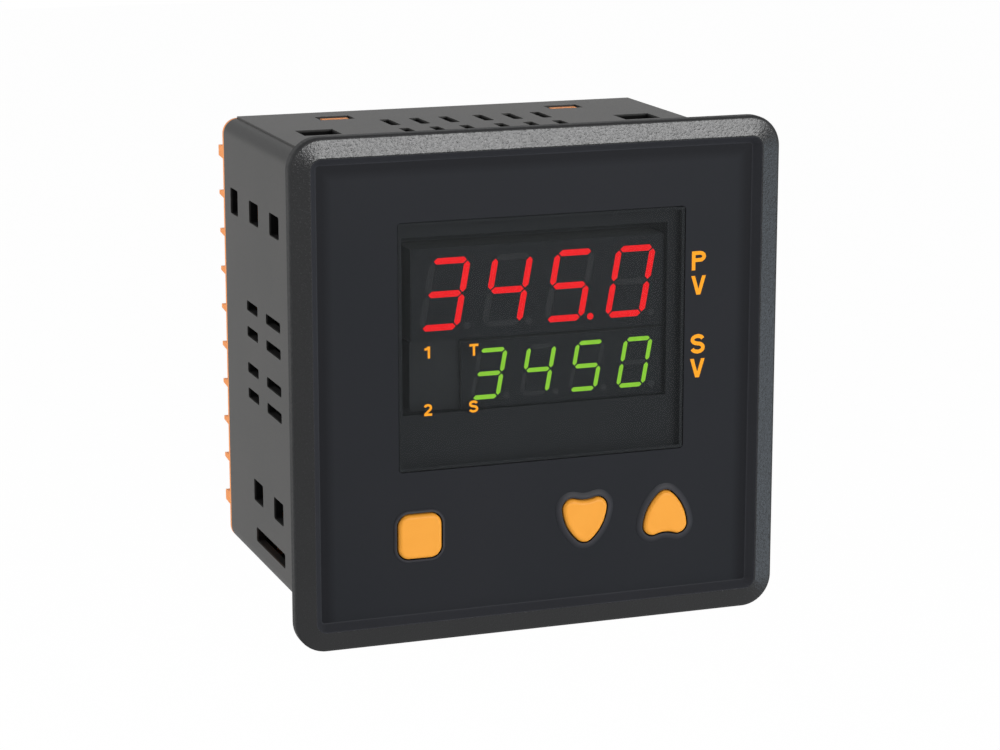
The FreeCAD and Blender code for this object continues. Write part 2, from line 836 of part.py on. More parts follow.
def make_display_window():
    body = new_body("display_window")
    pane = window_outline("0 - window_fit", "window_corner - window_fit")
    slab(body, "pane", FILM_FRONT, PLATE_BACK, *pane)
    flange_back = f"({PLATE_BACK} + window_flange_depth)"
    flange = window_outline("window_flange", "window_corner + window_flange")
    slab(body, "flange", PLATE_BACK, flange_back, *flange)
    rebate = window_outline("0 - window_fit - window_rebate_wall", "window_corner")
    recess(body, "rebate", f"({FILM_FRONT} + window_pane)", flange_back, *rebate)
    return body


def make_key(name):
    """A key cap with a retaining flange behind the bezel plate and a stem to its switch."""
    body = new_body(f"{name}_key")
    place = f"{name}_key_place"
    slab(body, f"{name}_cap", KEY_FRONT, KEY_FLANGE_FRONT, *key_outlines("0")[name])
    level = amount(KEY_FRONT)
    soften(body, f"{name}_cap_rounding", "Fillet", "key_round", lambda edge: flat_at(edge, level))
    flange = key_outlines("(key_gap + key_flange)")[name]
    slab(body, f"{name}_flange", KEY_FLANGE_FRONT, KEY_FLANGE_BACK, *flange)
    stem = (circle, place, "key_level", "key_stem")
    slab(body, f"{name}_stem", KEY_FLANGE_BACK, PLUNGER_FRONT, *stem)
    return body


def make_switch(name):
    """A tactile switch: a square body on the board and a round plunger in its well."""
    place = f"{name}_key_place"
    half = "(switch_side / 2)"
    case = block(
        f"{name}_switch_block",
        f"{place} - {half}",
        SWITCH_FRONT,
        f"key_level - {half}",
        "switch_side",
        "switch_height",
        "switch_side",
    )
    well_radius = "plunger_radius + plunger_fit"
    well = rod(f"{name}_switch_well", "Y", place, SWITCH_FRONT, "key_level", well_radius, SWITCH_WELL)
    switch = less(f"{name}_switch", case, well)
    reach = f"{PLUNGER_BACK} - {PLUNGER_FRONT}"
    plunger = rod(f"{name}_plunger", "Y", place, PLUNGER_FRONT, "key_level", "plunger_radius", reach)
    return [switch, plunger]


# ---- display board and what stands on it ----------------------------------------------


def make_display_board():
    body = new_body("display_board")
    half = (BOARD_HALF_WIDTH, BOARD_HALF_HEIGHT)
    slab(body, "display_sheet", BOARD_FRONT, BOARD_BACK, centred, *half, "display_board_corner")
    sketch = new_sketch(body, "display_board_holes", "XZ_Plane", f"-1 * {BOARD_FRONT}")
    for x_sign in ("-1", "1"):
        for z_sign in ("-1", "1"):
            spot = (f"{x_sign} * {BOSS_X}", f"{z_sign} * {BOSS_Z}")
            circle(sketch, *spot, "board_screw_radius + screw_hole_gap")
    holes = body.newObject("PartDesign::Pocket", "display_board_drilling")
    holes.Profile = sketch
    bind(holes, "Length", "board_depth")
    return body


def make_board_screws():
    """Four self-tapping screws that hold the display board to the bezel's bosses."""
    screws = []
    for x_sign in ("-1", "1"):
        for z_sign in ("-1", "1"):
            spot = (f"{x_sign} * {BOSS_X}", f"{z_sign} * {BOSS_Z}")
            tag = f"board_screw_{len(screws) + 1}"
            head_size = ("board_screw_head", "board_screw_head_height")
            head = rod(f"{tag}_head", "Y", spot[0], BOARD_BACK, spot[1], *head_size)
            shank_front = f"{BOARD_BACK} - board_screw_length"
            shank_size = ("board_screw_radius", "board_screw_length")
            shank = rod(f"{tag}_shank", "Y", spot[0], shank_front, spot[1], *shank_size)
            slot = block(
                f"{tag}_slot",
                f"{spot[0]} - board_screw_head",
                f"{BOARD_BACK} + board_screw_head_height / 2",
                f"{spot[1]} - board_screw_slot / 2",
                "2 * board_screw_head",
                "board_screw_head_height",
                "board_screw_slot",
            )
            screws.append(less(tag, joined(f"{tag}_body", [head, shank]), slot))
    return grouped("board_screws", screws)


def segment_bars(prefix):
    """Each segment's low end, direction and length in an upright digit about its own middle."""
    column = f"(({prefix}_digit_width - {prefix}_stroke) / 2)"
    row = f"(({prefix}_digit_height - {prefix}_stroke) / 2)"
    across = [(f"-1 * {column}", f"{sign} * {row}", True) for sign in ("-1", "0", "1")]
    upright = [(f"{x} * {column}", z, False) for x in ("-1", "1") for z in (f"-1 * {row}", f"0 * {row}")]
    return [(u, v, True, f"(2 * {column})") for u, v, _ in across] + [
        (u, v, False, row) for u, v, _ in upright
    ]


def segments(sketch, prefix, middle):
    """One leaning digit of seven pointed bars, with its decimal point."""
    half = f"({prefix}_stroke / 2)"
    near = "segment_gap"
    for u, v, across, length in segment_bars(prefix):
        outline = [
            (near, "0"),
            (f"{near} + {half}", half),
            (f"{length} - {near} - {half}", half),
            (f"{length} - {near}", "0"),
            (f"{length} - {near} - {half}", f"-1 * {half}"),
            (f"{near} + {half}", f"-1 * {half}"),
        ]
        corners = []
        for along, aside in outline:
            x = f"{u} + {along}" if across else f"{u} - ({aside})"
            z = f"{v} + {aside}" if across else f"{v} + {along}"
            corners.append((f"{middle} + {x} + ({z}) * digit_lean", f"{prefix}_level + {z}"))
        polygon(sketch, corners)
    foot = f"({prefix}_digit_height - {prefix}_stroke) / 2"
    point_x = f"{middle} + {prefix}_digit_width / 2 + point_offset - {foot} * digit_lean"
    circle(sketch, point_x, f"{prefix}_level - {foot}", "point_radius")


def make_digit_module(prefix):
    """A four-digit module: a potted block with its segments sunk in the face."""
    body = new_body(f"{prefix}_display")
    slab(
        body,
        f"{prefix}_block",
        MODULE_FRONT,
        BOARD_FRONT,
        rectangle,
        f"{prefix}_middle - {prefix}_width / 2",
        f"{prefix}_middle + {prefix}_width / 2",
        f"{prefix}_level - {prefix}_body_height / 2",
        f"{prefix}_level + {prefix}_body_height / 2",
    )
    first = f"({prefix}_middle - (digit_count - 1) / 2 * {prefix}_pitch)"
    sunk = f"({MODULE_FRONT} + segment_sink)"
    recess(body, f"{prefix}_digit", MODULE_FRONT, sunk, segments, prefix, first)
    repeat(body, f"{prefix}_digits", f"{prefix}_digit", "H_Axis", f"{prefix}_pitch", "digit_count")
    return body


def make_lamps():
    """A black baffle with four wells and a lamp at the bottom of each."""
    front = "(display_board_level - baffle_height)"
    case = block(
        "lamp_baffle_block",
        "baffle_middle - baffle_width / 2",
        front,
        "baffle_level - baffle_tall / 2",
        "baffle_width",
        "baffle_height",
        "baffle_tall",
    )
    wells = []
    lamps = []
    for name, x_sign, z_sign in (
        ("output_lamp", "-1", "1"),
        ("alarm_lamp", "-1", "-1"),
        ("tune_lamp", "1", "1"),
        ("soak_lamp", "1", "-1"),
    ):
        x = f"(baffle_middle + {x_sign} * lamp_spread_x / 2)"
        z = f"(baffle_level + {z_sign} * lamp_spread_z / 2)"
        wells.append(rod(f"{name}_well", "Y", x, front, z, "lamp_well", "baffle_height"))
        lamps.append(
            block(
                name,
                f"{x} - lamp_length / 2",
                "display_board_level - lamp_height",
                f"{z} - lamp_width / 2",
                "lamp_length",
                "lamp_height",
                "lamp_width",
            )
        )
    return [less("lamp_baffle", case, joined("lamp_wells", wells))] + lamps


# ---- case ---------------------------------------------------------------------------


def make_rear_case():
    body = new_body("rear_case")
    shell = ("(case_width / 2)", "(case_height / 2)", "case_corner")
    slab(body, "shell", CASE_FRONT, "case_depth", centred, *shell)
    flat_half = "(case_width / 2 - flat_inset)"
    slab(
        body,
        "raised_flats",
        CASE_FRONT,
        "case_depth",
        rectangle,
        f"-1 * {flat_half}",
        flat_half,
        "-1 * (case_height / 2 + flat_rise)",
        "case_height / 2 + flat_rise",
    )
    bore = (BORE_HALF_WIDTH, BORE_HALF_HEIGHT, "case_bore_corner")
    recess(body, "bore", CASE_FRONT, "case_depth", centred, *bore)
    add_side_slots(body)
    add_top_vents(body)
    add_latch_windows(body)
    return body


def slot_row(sketch, middle, length, level, height):
    rounded(
        sketch,
        f"{middle} - {length} / 2",
        f"{middle} + {length} / 2",
        f"{level} - {height} / 2",
        f"{level} + {height} / 2",
        "slot_corner",
    )


def add_side_slots(body):
    """Clamp slots, vents and the low slot, cut through both side walls at once."""
    across = "(case_width + case_wall)"
    for name, level in (("upper", "clamp_slot_level"), ("lower", "(-1 * clamp_slot_level)")):
        crossing_cut(
            body,
            f"{name}_clamp_slot",
            "YZ_Plane",
            across,
            slot_row,
            "clamp_slot_first",
            "clamp_slot_length",
            level,
            "clamp_slot_height",
        )
        repeat(body, f"{name}_clamp_slots", f"{name}_clamp_slot", "H_Axis", "clamp_slot_pitch", "2")
    crossing_cut(
        body,
        "rear_clamp_slot",
        "YZ_Plane",
        across,
        slot_row,
        "(clamp_slot_first + 2 * clamp_slot_pitch)",
        "rear_slot_length",
        "clamp_slot_level",
        "rear_slot_height",
    )
    sketch = new_sketch(body, "side_vents_outline", "YZ_Plane", f"-1 * {across} / 2")
    for column in ("front", "back"):
        for level in ("side_vent_inner", "side_vent_outer"):
            for sign in ("1", "-1"):
                where = f"({sign} * {level})"
                slot_row(sketch, f"{column}_vent_middle", f"{column}_vent_length", where, "side_vent_height")
    low_level = "(low_slot_rise - case_height / 2)"
    slot_row(sketch, "low_slot_middle", "low_slot_length", low_level, "low_slot_height")
    vents = body.newObject("PartDesign::Pocket", "side_vents")
    vents.Profile = sketch
    vents.Reversed = True
    bind(vents, "Length", across)


def repeat(body, name, original, axis, pitch, count):
    """Copies of one feature, a pitch apart along an axis of its sketch."""
    feature = doc.getObject(original)
    pattern = body.newObject("PartDesign::LinearPattern", name)
    pattern.Originals = [feature]
    pattern.Direction = (feature.Profile[0], [axis])
    pattern.Mode = "Spacing"
    bind(pattern, "Offset", pitch)
    body.Tip = pattern
    bind(pattern, "Occurrences", count)
    return pattern


def add_top_vents(body):
    """Two rows of vents through the top and the bottom, in two groups of three."""
    deep = "(case_height + 2 * flat_rise + case_wall)"
    for row_name in ("front", "back"):
        middle = f"top_vent_{row_name}_row"
        for side, start in (
            ("left", "(0 - top_vent_group_gap / 2 - 2 * top_vent_pitch)"),
            ("right", "(top_vent_group_gap / 2)"),
        ):
            name = f"{row_name}_{side}_vent"
            crossing_cut(
                body,
                name,
                "XY_Plane",
                deep,
                rounded,
                f"{start} - top_vent_width / 2",
                f"{start} + top_vent_width / 2",
                f"{middle} - top_vent_length / 2",
                f"{middle} + top_vent_length / 2",
                "slot_corner",
            )
            repeat(body, f"{name}s", name, "H_Axis", "top_vent_pitch", "3")


def add_latch_windows(body):
    """Windows for the bezel's hooks at the front and the cover's hooks at the rear."""
    deep = "(case_height + 2 * flat_rise + case_wall)"
    windows = {
        "bezel_latch": (
            "latch_offset",
            "(latch_width / 2 + latch_window_side_gap)",
            "(latch_reach - latch_hook_length - latch_window_end_gap)",
            "(latch_reach + latch_window_end_gap)",
        ),
        "cover_latch": (
            "cover_tab_offset",
            "(cover_tab_width / 2 + cover_window_side_gap)",
            f"({COVER_HOOK_FRONT} - cover_window_front_gap)",
            f"({COVER_HOOK_FRONT} + cover_hook_length + cover_window_back_gap)",
        ),
    }
    for name, (offset, half, front, back) in windows.items():
        sketch = new_sketch(body, f"{name}_outline", "XY_Plane", f"-1 * {deep} / 2")
        for sign in ("-1", "1"):
            place = f"{sign} * {offset}"
            rectangle(sketch, f"{place} - {half}", f"{place} + {half}", front, back)
        cut = body.newObject("PartDesign::Pocket", f"{name}_windows")
        cut.Profile = sketch
        cut.Reversed = True
        bind(cut, "Length", deep)


# ---- terminal cover and terminals ------------------------------------------------------

COLUMN_BOTTOM = "(terminal_middle - (terminal_count - 1) / 2 * terminal_pitch)"


def make_terminal_cover():
    """The back plate: a flange over the case's end, a plug inside it, ribs, latches and board guides."""
    body = new_body("terminal_cover")
    plug_width = f"({BORE_HALF_WIDTH} - plug_fit)"
    plug_height = f"({BORE_HALF_HEIGHT} - plug_fit)"
    slab(body, "plug", PLUG_FRONT, "case_depth", centred, plug_width, plug_height, "case_bore_corner")
    outline = ("(case_width / 2)", "(case_height / 2)", "case_corner")
    slab(body, "back_plate", "case_depth", COVER_BACK, centred, *outline)
    for side, sign in (("left", "-1"), ("right", "1")):
        add_rib_column(body, side, sign)
    add_terminal_holes(body)
    add_cover_latches(body)
    add_board_guides(body)
    add_side_rails(body)
    return body


def rib_section(level, root, tip):
    return [
        (COVER_BACK, f"{level} - {root} / 2"),
        (RIB_BACK, f"{level} - {tip} / 2"),
        (RIB_BACK, f"{level} + {tip} / 2"),
        (COVER_BACK, f"{level} + {root} / 2"),
    ]


def add_rib_column(body, side, sign):
    """Tapered ribs between the terminals, thicker ones at both ends and a barrier along the inner side."""
    outer = "(case_width / 2)"
    low = f"(0 - {outer})" if sign == "-1" else f"({outer} - rib_length)"
    first = f"({COLUMN_BOTTOM} + terminal_pitch / 2)"
    strip(body, f"{side}_rib", "YZ_Plane", low, "rib_length", rib_section(first, "rib_root", "rib_tip"))
    repeat(body, f"{side}_ribs", f"{side}_rib", "V_Axis", "terminal_pitch", "terminal_count - 1")
    reach = "(terminal_count / 2 * terminal_pitch + end_rib_extra)"
    for end, end_sign in (("bottom", "-1"), ("top", "1")):
        level = f"(terminal_middle + {end_sign} * {reach})"
        section = rib_section(level, "end_rib_root", "end_rib_tip")
        strip(body, f"{side}_{end}_rib", "YZ_Plane", low, "rib_length", section)
    inner = f"({outer} - rib_length)"
    edge = f"({reach} + end_rib_root / 2)"
    near = f"(0 - {inner})" if sign == "-1" else f"({inner} - barrier_wall)"
    slab(
        body,
        f"{side}_barrier",
        COVER_BACK,
        RIB_BACK,
        rectangle,
        near,
        f"{near} + barrier_wall",
        f"terminal_middle - {edge}",
        f"terminal_middle + {edge}",
    )


def add_terminal_holes(body):
    """A screw well and a slot for the lug's leg at every terminal."""
    for side, sign in (("left", "-1"), ("right", "1")):
        well_front = f"({CLAMP_BACK} - terminal_screw_length - terminal_well_gap)"
        radius = "terminal_screw_radius + terminal_well_gap"
        spot = f"{sign} * {TERMINAL_X}"
        recess(body, f"{side}_well", well_front, COVER_BACK, circle, spot, COLUMN_BOTTOM, radius)
        repeat(body, f"{side}_wells", f"{side}_well", "V_Axis", "terminal_pitch", "terminal_count")
        leg_middle = f"({sign} * ({LUG_INNER} + lug_depth / 2))"
        half_depth = "(lug_depth / 2 + lug_slot_gap)"
        half_width = "(lug_leg_width / 2 + lug_slot_gap)"
        recess(
            body,
            f"{side}_leg_slot",
            PLUG_FRONT,
            COVER_BACK,
            rectangle,
            f"{leg_middle} - {half_depth}",
            f"{leg_middle} + {half_depth}",
            f"{COLUMN_BOTTOM} - {half_width}",
            f"{COLUMN_BOTTOM} + {half_width}",
        )
        repeat(body, f"{side}_leg_slots", f"{side}_leg_slot", "V_Axis", "terminal_pitch", "terminal_count")


def add_cover_latches(body):
    """Four hooks that catch in the case's rear windows."""
    outer = f"({BORE_HALF_HEIGHT} - plug_fit)"
    front = f"({PLUG_FRONT} - cover_tab_reach)"
    for side, x_sign in (("left", "-1"), ("right", "1")):
        low = f"{x_sign} * cover_tab_offset - cover_tab_width / 2"
        for edge, z_sign in (("top", "1"), ("bottom", "-1")):
            inner = f"({outer} - cover_tab_wall)"
            top = f"({outer} + cover_hook_rise)"
            corners = [
                (PLUG_FRONT, inner),
                (front, inner),
                (front, outer),
                (COVER_HOOK_FRONT, outer),
                (f"{COVER_HOOK_FRONT} + cover_ramp_length", top),
                (f"{COVER_HOOK_FRONT} + cover_hook_length", top),
                (f"{COVER_HOOK_FRONT} + cover_hook_length", outer),
                (PLUG_FRONT, outer),
            ]
            section = [(u, f"{z_sign} * {v}") for u, v in corners]
            strip(body, f"cover_latch_{side}_{edge}", "YZ_Plane", low, "cover_tab_width", section)


def add_board_guides(body):
    """Four grooved arms that hold the corners of the upright boards."""
    outer = f"({BORE_HALF_HEIGHT} - plug_fit)"
    front = f"({PLUG_FRONT} - guide_reach)"
    for side, x_sign in (("left", "-1"), ("right", "1")):
        for edge, z_sign in (("top", "1"), ("bottom", "-1")):
            name = f"guide_{side}_{edge}"
            sides = (f"({SIDE_BOARD_OUTER} + guide_outer_wall)", f"({SIDE_BOARD_INNER} - guide_inner_wall)")
            xs = sorted((f"{x_sign} * {side_x}" for side_x in sides), key=amount)
            zs = sorted((f"{z_sign} * {outer}", f"{z_sign} * ({outer} - guide_height)"), key=amount)
            slab(body, name, front, PLUG_FRONT, rectangle, *xs, *zs)
            sheet_outer = f"({SIDE_BOARD_OUTER} + guide_fit)"
            sheet_inner = f"({SIDE_BOARD_INNER} - guide_fit)"
            xs = sorted((f"{x_sign} * {sheet_outer}", f"{x_sign} * {sheet_inner}"), key=amount)
            floor = f"({SIDE_BOARD_HALF} + guide_fit)"
            zs = sorted((f"{z_sign} * {floor}", f"{z_sign} * ({outer} - guide_height)"), key=amount)
            recess(body, f"{name}_groove", front, PLUG_FRONT, rectangle, *xs, *zs)


def add_side_rails(body):
    """Four long arms beside the guides that keep the boards' outer faces off the case."""
    outer = f"({BORE_HALF_WIDTH} - rail_side_gap)"
    top = f"({BORE_HALF_HEIGHT} - rail_end_gap)"
    front = f"({PLUG_FRONT} - rail_reach)"
    for side, x_sign in (("left", "-1"), ("right", "1")):
        for edge, z_sign in (("top", "1"), ("bottom", "-1")):
            xs = sorted((f"{x_sign} * {outer}", f"{x_sign} * ({outer} - rail_width)"), key=amount)
            zs = sorted((f"{z_sign} * {top}", f"{z_sign} * ({top} - rail_height)"), key=amount)
            slab(body, f"rail_{side}_{edge}", front, PLUG_FRONT, rectangle, *xs, *zs)


def terminal_level(i):
    return f"({COLUMN_BOTTOM} + {i} * terminal_pitch)"


def make_terminals():
    """Brass lugs soldered to the boards, with a clamp plate and a screw on each."""
    groups = {"left_lugs": [], "right_lugs": []}
    clamps = []
    screws = []
    for side, sign in (("left", "-1"), ("right", "1")):
        for i in range(int(amount("terminal_count"))):
            tag = f"{side}_{i + 1}"
            level = terminal_level(i)
            screw_x = f"({sign} * {TERMINAL_X})"
            groups[f"{side}_lugs"].append(make_lug(tag, sign, level, screw_x))
            clamps.append(make_clamp(tag, level, screw_x))
            screws.append(make_terminal_screw(tag, level, screw_x))
    nodes = [grouped(name, lugs) for name, lugs in groups.items()]
    nodes.append(grouped("terminal_clamps", clamps))
    nodes.append(grouped("terminal_screws", screws))
    return nodes


def make_lug(tag, sign, level, screw_x):
    """An angled strip: a flat seat for the clamp and a leg through the cover to the board."""
    low_x = f"(0 - {LUG_OUTER})" if sign == "-1" else LUG_INNER
    seat = block(
        f"lug_{tag}_seat",
        low_x,
        COVER_BACK,
        f"{level} - lug_width / 2",
        f"{LUG_OUTER} - {LUG_INNER}",
        "lug_depth",
        "lug_width",
    )
    leg_x = f"(0 - {SIDE_BOARD_INNER})" if sign == "-1" else LUG_INNER
    leg = block(
        f"lug_{tag}_leg",
        leg_x,
        LUG_LEG_FRONT,
        f"{level} - lug_leg_width / 2",
        "lug_depth",
        f"{LUG_BACK} - {LUG_LEG_FRONT}",
        "lug_leg_width",
    )
    hole_radius = "terminal_screw_radius + terminal_screw_gap"
    hole = rod(f"lug_{tag}_hole", "Y", screw_x, COVER_BACK, level, hole_radius, "lug_depth")
    return less(f"lug_{tag}", joined(f"lug_{tag}_strip", [seat, leg]), hole)


def make_clamp(tag, level, screw_x):
    """A square plate that the screw pulls down on the wire."""
    plate = block(
        f"clamp_{tag}_plate",
        f"{screw_x} - clamp_side / 2",
        LUG_BACK,
        f"{level} - clamp_side / 2",
        "clamp_side",
        "clamp_depth",
        "clamp_side",
    )
    hole_radius = "terminal_screw_radius + terminal_screw_gap"
    hole = rod(f"clamp_{tag}_hole", "Y", screw_x, LUG_BACK, level, hole_radius, "clamp_depth")
    return less(f"clamp_{tag}", plate, hole)


def make_terminal_screw(tag, level, screw_x):
    """A cheese-head screw with a driver slot."""
    head_size = ("terminal_head_radius", "terminal_head_height")
    head = rod(f"screw_{tag}_head", "Y", screw_x, CLAMP_BACK, level, *head_size)
    shank_front = f"{CLAMP_BACK} - terminal_screw_length"
    shank_size = ("terminal_screw_radius", "terminal_screw_length")
    shank = rod(f"screw_{tag}_shank", "Y", screw_x, shank_front, level, *shank_size)
    slot = block(
        f"screw_{tag}_slot",
        f"{screw_x} - terminal_head_radius",
        f"{CLAMP_BACK} + terminal_head_height - terminal_head_slot_depth",
        f"{level} - terminal_head_slot / 2",
        "2 * terminal_head_radius",
        "terminal_head_slot_depth",
        "terminal_head_slot",
    )
    return less(f"screw_{tag}", joined(f"screw_{tag}_body", [head, shank]), slot)


# ---- upright boards and their parts ---------------------------------------------------


def make_side_boards():
    nodes = []
    for side, sign in (("power", "-1"), ("control", "1")):
        low_x = f"(0 - {SIDE_BOARD_OUTER})" if sign == "-1" else SIDE_BOARD_INNER
        nodes.append(
            block(
                f"{side}_board",
                low_x,
                SIDE_BOARD_FRONT,
                f"-1 * {SIDE_BOARD_HALF}",
                "board_depth",
                f"{SIDE_BOARD_BACK} - {SIDE_BOARD_FRONT}",
                f"2 * {SIDE_BOARD_HALF}",
            )
        )
        header_x = f"(0 - {SIDE_BOARD_INNER})" if sign == "-1" else f"({SIDE_BOARD_INNER} - header_width)"
        nodes.append(
            block(
                f"{side}_header",
                header_x,
                BOARD_BACK,
                "0 - header_length / 2",
                "header_width",
                "header_depth",
                "header_length",
            )
        )
    return nodes


def on_power(name, front, level, width, length, tall):
    """A block standing on the power board's inner face."""
    return block(name, f"0 - {SIDE_BOARD_INNER}", front, f"{level} - {tall} / 2", width, length, tall)


def on_control(name, front, level, width, length, tall):
    """A block standing on the control board's inner face."""
    return block(name, f"{SIDE_BOARD_INNER} - {width}", front, f"{level} - {tall} / 2", width, length, tall)


def make_transformer():
    """A ferrite core with two open windows, and the bobbin and winding that fill them."""
    base_x = f"(bobbin_base - {SIDE_BOARD_INNER})"
    core_low = "(core_level - core_tall / 2)"
    core_sides = ("core_width", "core_length", "core_tall")
    core_block = block("core_block", base_x, "core_front", core_low, *core_sides)
    window_tall = "((core_tall - 4 * core_leg) / 2)"
    windows = []
    for name, start in (
        ("lower", f"({core_low} + core_leg)"),
        ("upper", "(core_level + core_leg)"),
    ):
        windows.append(
            block(
                f"core_{name}_window",
                f"{base_x} + core_leg",
                "core_front",
                start,
                "core_width - 2 * core_leg",
                "core_length",
                window_tall,
            )
        )
    core = less("transformer_core", core_block, joined("core_windows", windows))

    outer = block(
        "winding_block",
        f"{base_x} + core_leg + winding_gap",
        "core_front - core_leg",
        f"{core_low} + core_leg + winding_gap",
        "core_width - 2 * core_leg - 2 * winding_gap",
        "core_length + 2 * core_leg",
        "core_tall - 2 * core_leg - 2 * winding_gap",
    )
    middle_leg = block(
        "winding_middle",
        f"{base_x} + core_leg",
        "core_front - winding_gap",
        "core_level - core_leg - winding_gap",
        "core_width - 2 * core_leg",
        "core_length + 2 * winding_gap",
        "2 * (core_leg + winding_gap)",
    )
    winding = less("winding_turns", outer, middle_leg)
    base = block(
        "bobbin_foot",
        f"0 - {SIDE_BOARD_INNER}",
        "core_front - core_leg",
        core_low,
        "bobbin_base",
        "core_length + 2 * core_leg",
        "core_tall",
    )
    cheek_x = f"(bobbin_base - {SIDE_BOARD_INNER})"
    cheeks = []
    for name, start in (
        ("front", "(core_front - core_leg)"),
        ("back", "(core_front + core_length + winding_gap)"),
    ):
        cheeks.append(
            block(
                f"bobbin_{name}_cheek",
                cheek_x,
                start,
                f"{core_low} + core_leg + winding_gap",
                "core_leg + winding_gap",
                "core_leg - winding_gap",
                "core_tall - 2 * core_leg - 2 * winding_gap",
            )
        )
    return [core, joined("transformer_winding", [winding, base] + cheeks)]


def make_capacitor():
    """A round can with a crimped bead near its foot, standing on the board."""
    foot = f"(0 - {SIDE_BOARD_INNER})"
    body = new_body("bulk_capacitor")
    sketch = new_sketch(body, "can_half_section", "XY_Plane", "capacitor_level")
    axis = "capacitor_front + capacitor_radius"
    polygon(
        sketch,
        [
            (foot, axis),
            (foot, f"{axis} + capacitor_radius"),
            (f"{foot} + capacitor_bead", f"{axis} + capacitor_radius"),
            (f"{foot} + 2 * capacitor_bead", f"{axis} + capacitor_radius - capacitor_bead"),
            (f"{foot} + 3 * capacitor_bead", f"{axis} + capacitor_radius"),
            (f"{foot} + capacitor_length - capacitor_bead", f"{axis} + capacitor_radius"),
            (f"{foot} + capacitor_length", f"{axis} + capacitor_radius - capacitor_bead"),
            (f"{foot} + capacitor_length", axis),
        ],
    )
    turned = body.newObject("PartDesign::Revolution", "can")
    turned.Profile = sketch
    turned.ReferenceAxis = (sketch, ["Edge8"])
    turned.Angle = 360
    return body


def make_power_parts():
    def relay(name, placer):
        sides = ("relay_width", "relay_length", "relay_tall")
        case = placer(f"{name}_block", f"{name}_front", f"{name}_level", *sides)
        return smooth(name, case, "relay_round", runs_along(Vector(1, 0, 0)))

    centre_x = f"(fuse_radius - {SIDE_BOARD_INNER})"
    fuse = rod("mains_fuse", "Y", centre_x, "fuse_front", "fuse_level", "fuse_radius", "fuse_length")
    disc_x = f"(varistor_radius - {SIDE_BOARD_INNER})"
    disc = rod(
        "surge_varistor", "Y", disc_x, "varistor_front", "varistor_level", "varistor_radius", "varistor_depth"
    )
    sides = ("rectifier_width", "rectifier_length", "rectifier_tall")
    rectifier = on_power("rectifier", "rectifier_front", "rectifier_level", *sides)
    return [relay("output_relay", on_power), relay("alarm_relay", on_control), fuse, disc, rectifier]


def make_control_parts():
    sides = ("processor_width", "processor_side", "processor_side")
    processor = on_control("processor", "processor_front", "processor_level", *sides)
    sides = ("crystal_width", "crystal_length", "crystal_tall")
    can = on_control("crystal_block", "crystal_front", "crystal_level", *sides)
    crystal = smooth("crystal", can, "crystal_corner", runs_along(Vector(1, 0, 0)))
    sides = ("amplifier_width", "amplifier_length", "amplifier_tall")
    amplifier = on_control("input_amplifier", "amplifier_front", "amplifier_level", *sides)
    return [processor, crystal, amplifier]


# ---- the whole controller ---------------------------------------------------------------

nodes = [make_front_bezel(), make_front_overlay(), make_display_window()]
for key in ("mode", "down", "up"):
    nodes.append(make_key(key))
    nodes += make_switch(key)
nodes += [make_display_board(), make_board_screws(), make_digit_module("pv"), make_digit_module("sv")]
nodes += make_lamps()
nodes += [make_rear_case(), make_terminal_cover()]
nodes += make_terminals()
nodes += make_side_boards()
nodes += make_transformer()
nodes += [make_capacitor()]
nodes += make_power_parts()
nodes += make_control_parts()
doc.recompute()

for thing in doc.Objects:
    if "Invalid" in thing.State or "Error" in thing.State:
        raise RuntimeError(f"{thing.Name} did not build: {thing.State}")
for node in nodes:
    node.Label = node.Name
    if node.Shape.isNull() or not node.Shape.isValid():
        raise RuntimeError(f"{node.Name} has no sound shape")
    node.Shape.exportStep(f"parts/{node.Name}.step")
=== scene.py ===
import math

import bmesh
import bpy
from mathutils import Euler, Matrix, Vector


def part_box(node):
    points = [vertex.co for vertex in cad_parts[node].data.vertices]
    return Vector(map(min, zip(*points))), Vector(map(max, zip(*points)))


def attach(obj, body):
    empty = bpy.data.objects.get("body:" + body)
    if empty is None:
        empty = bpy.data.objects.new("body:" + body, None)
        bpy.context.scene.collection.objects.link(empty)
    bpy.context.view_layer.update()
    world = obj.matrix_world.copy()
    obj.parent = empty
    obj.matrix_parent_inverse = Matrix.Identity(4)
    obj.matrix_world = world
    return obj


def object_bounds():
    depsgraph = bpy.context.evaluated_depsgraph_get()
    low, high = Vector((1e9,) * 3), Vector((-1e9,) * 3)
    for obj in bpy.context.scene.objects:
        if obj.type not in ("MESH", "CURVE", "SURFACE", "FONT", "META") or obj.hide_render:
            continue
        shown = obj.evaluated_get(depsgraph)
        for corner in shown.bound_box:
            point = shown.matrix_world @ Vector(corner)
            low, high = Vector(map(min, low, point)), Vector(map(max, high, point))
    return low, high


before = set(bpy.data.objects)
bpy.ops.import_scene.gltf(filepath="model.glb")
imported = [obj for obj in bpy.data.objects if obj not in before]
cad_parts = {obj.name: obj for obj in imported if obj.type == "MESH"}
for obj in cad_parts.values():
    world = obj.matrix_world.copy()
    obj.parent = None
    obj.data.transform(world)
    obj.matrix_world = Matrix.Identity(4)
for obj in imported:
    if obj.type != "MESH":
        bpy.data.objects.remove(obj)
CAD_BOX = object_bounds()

scene = bpy.context.scene
MM = 0.001


# ---- camera ---------------------------------------------------------------------------

# Fitted to the bezel's and the case's edges in the photograph.
camera_data = bpy.data.cameras.new("camera")
camera = bpy.data.objects.new("camera", camera_data)
scene.collection.objects.link(camera)
camera.location = (-0.18857, -0.50495, 0.12421)
camera.rotation_euler = Euler((math.radians(90 - 12.934), 0, math.radians(-19.75)), "XYZ")
camera_data.lens = 106.537
camera_data.sensor_width = 36.0
camera_data.clip_start = 0.01
scene.camera = camera
scene.view_settings.view_transform = "Standard"


# ---- materials ------------------------------------------------------------------------


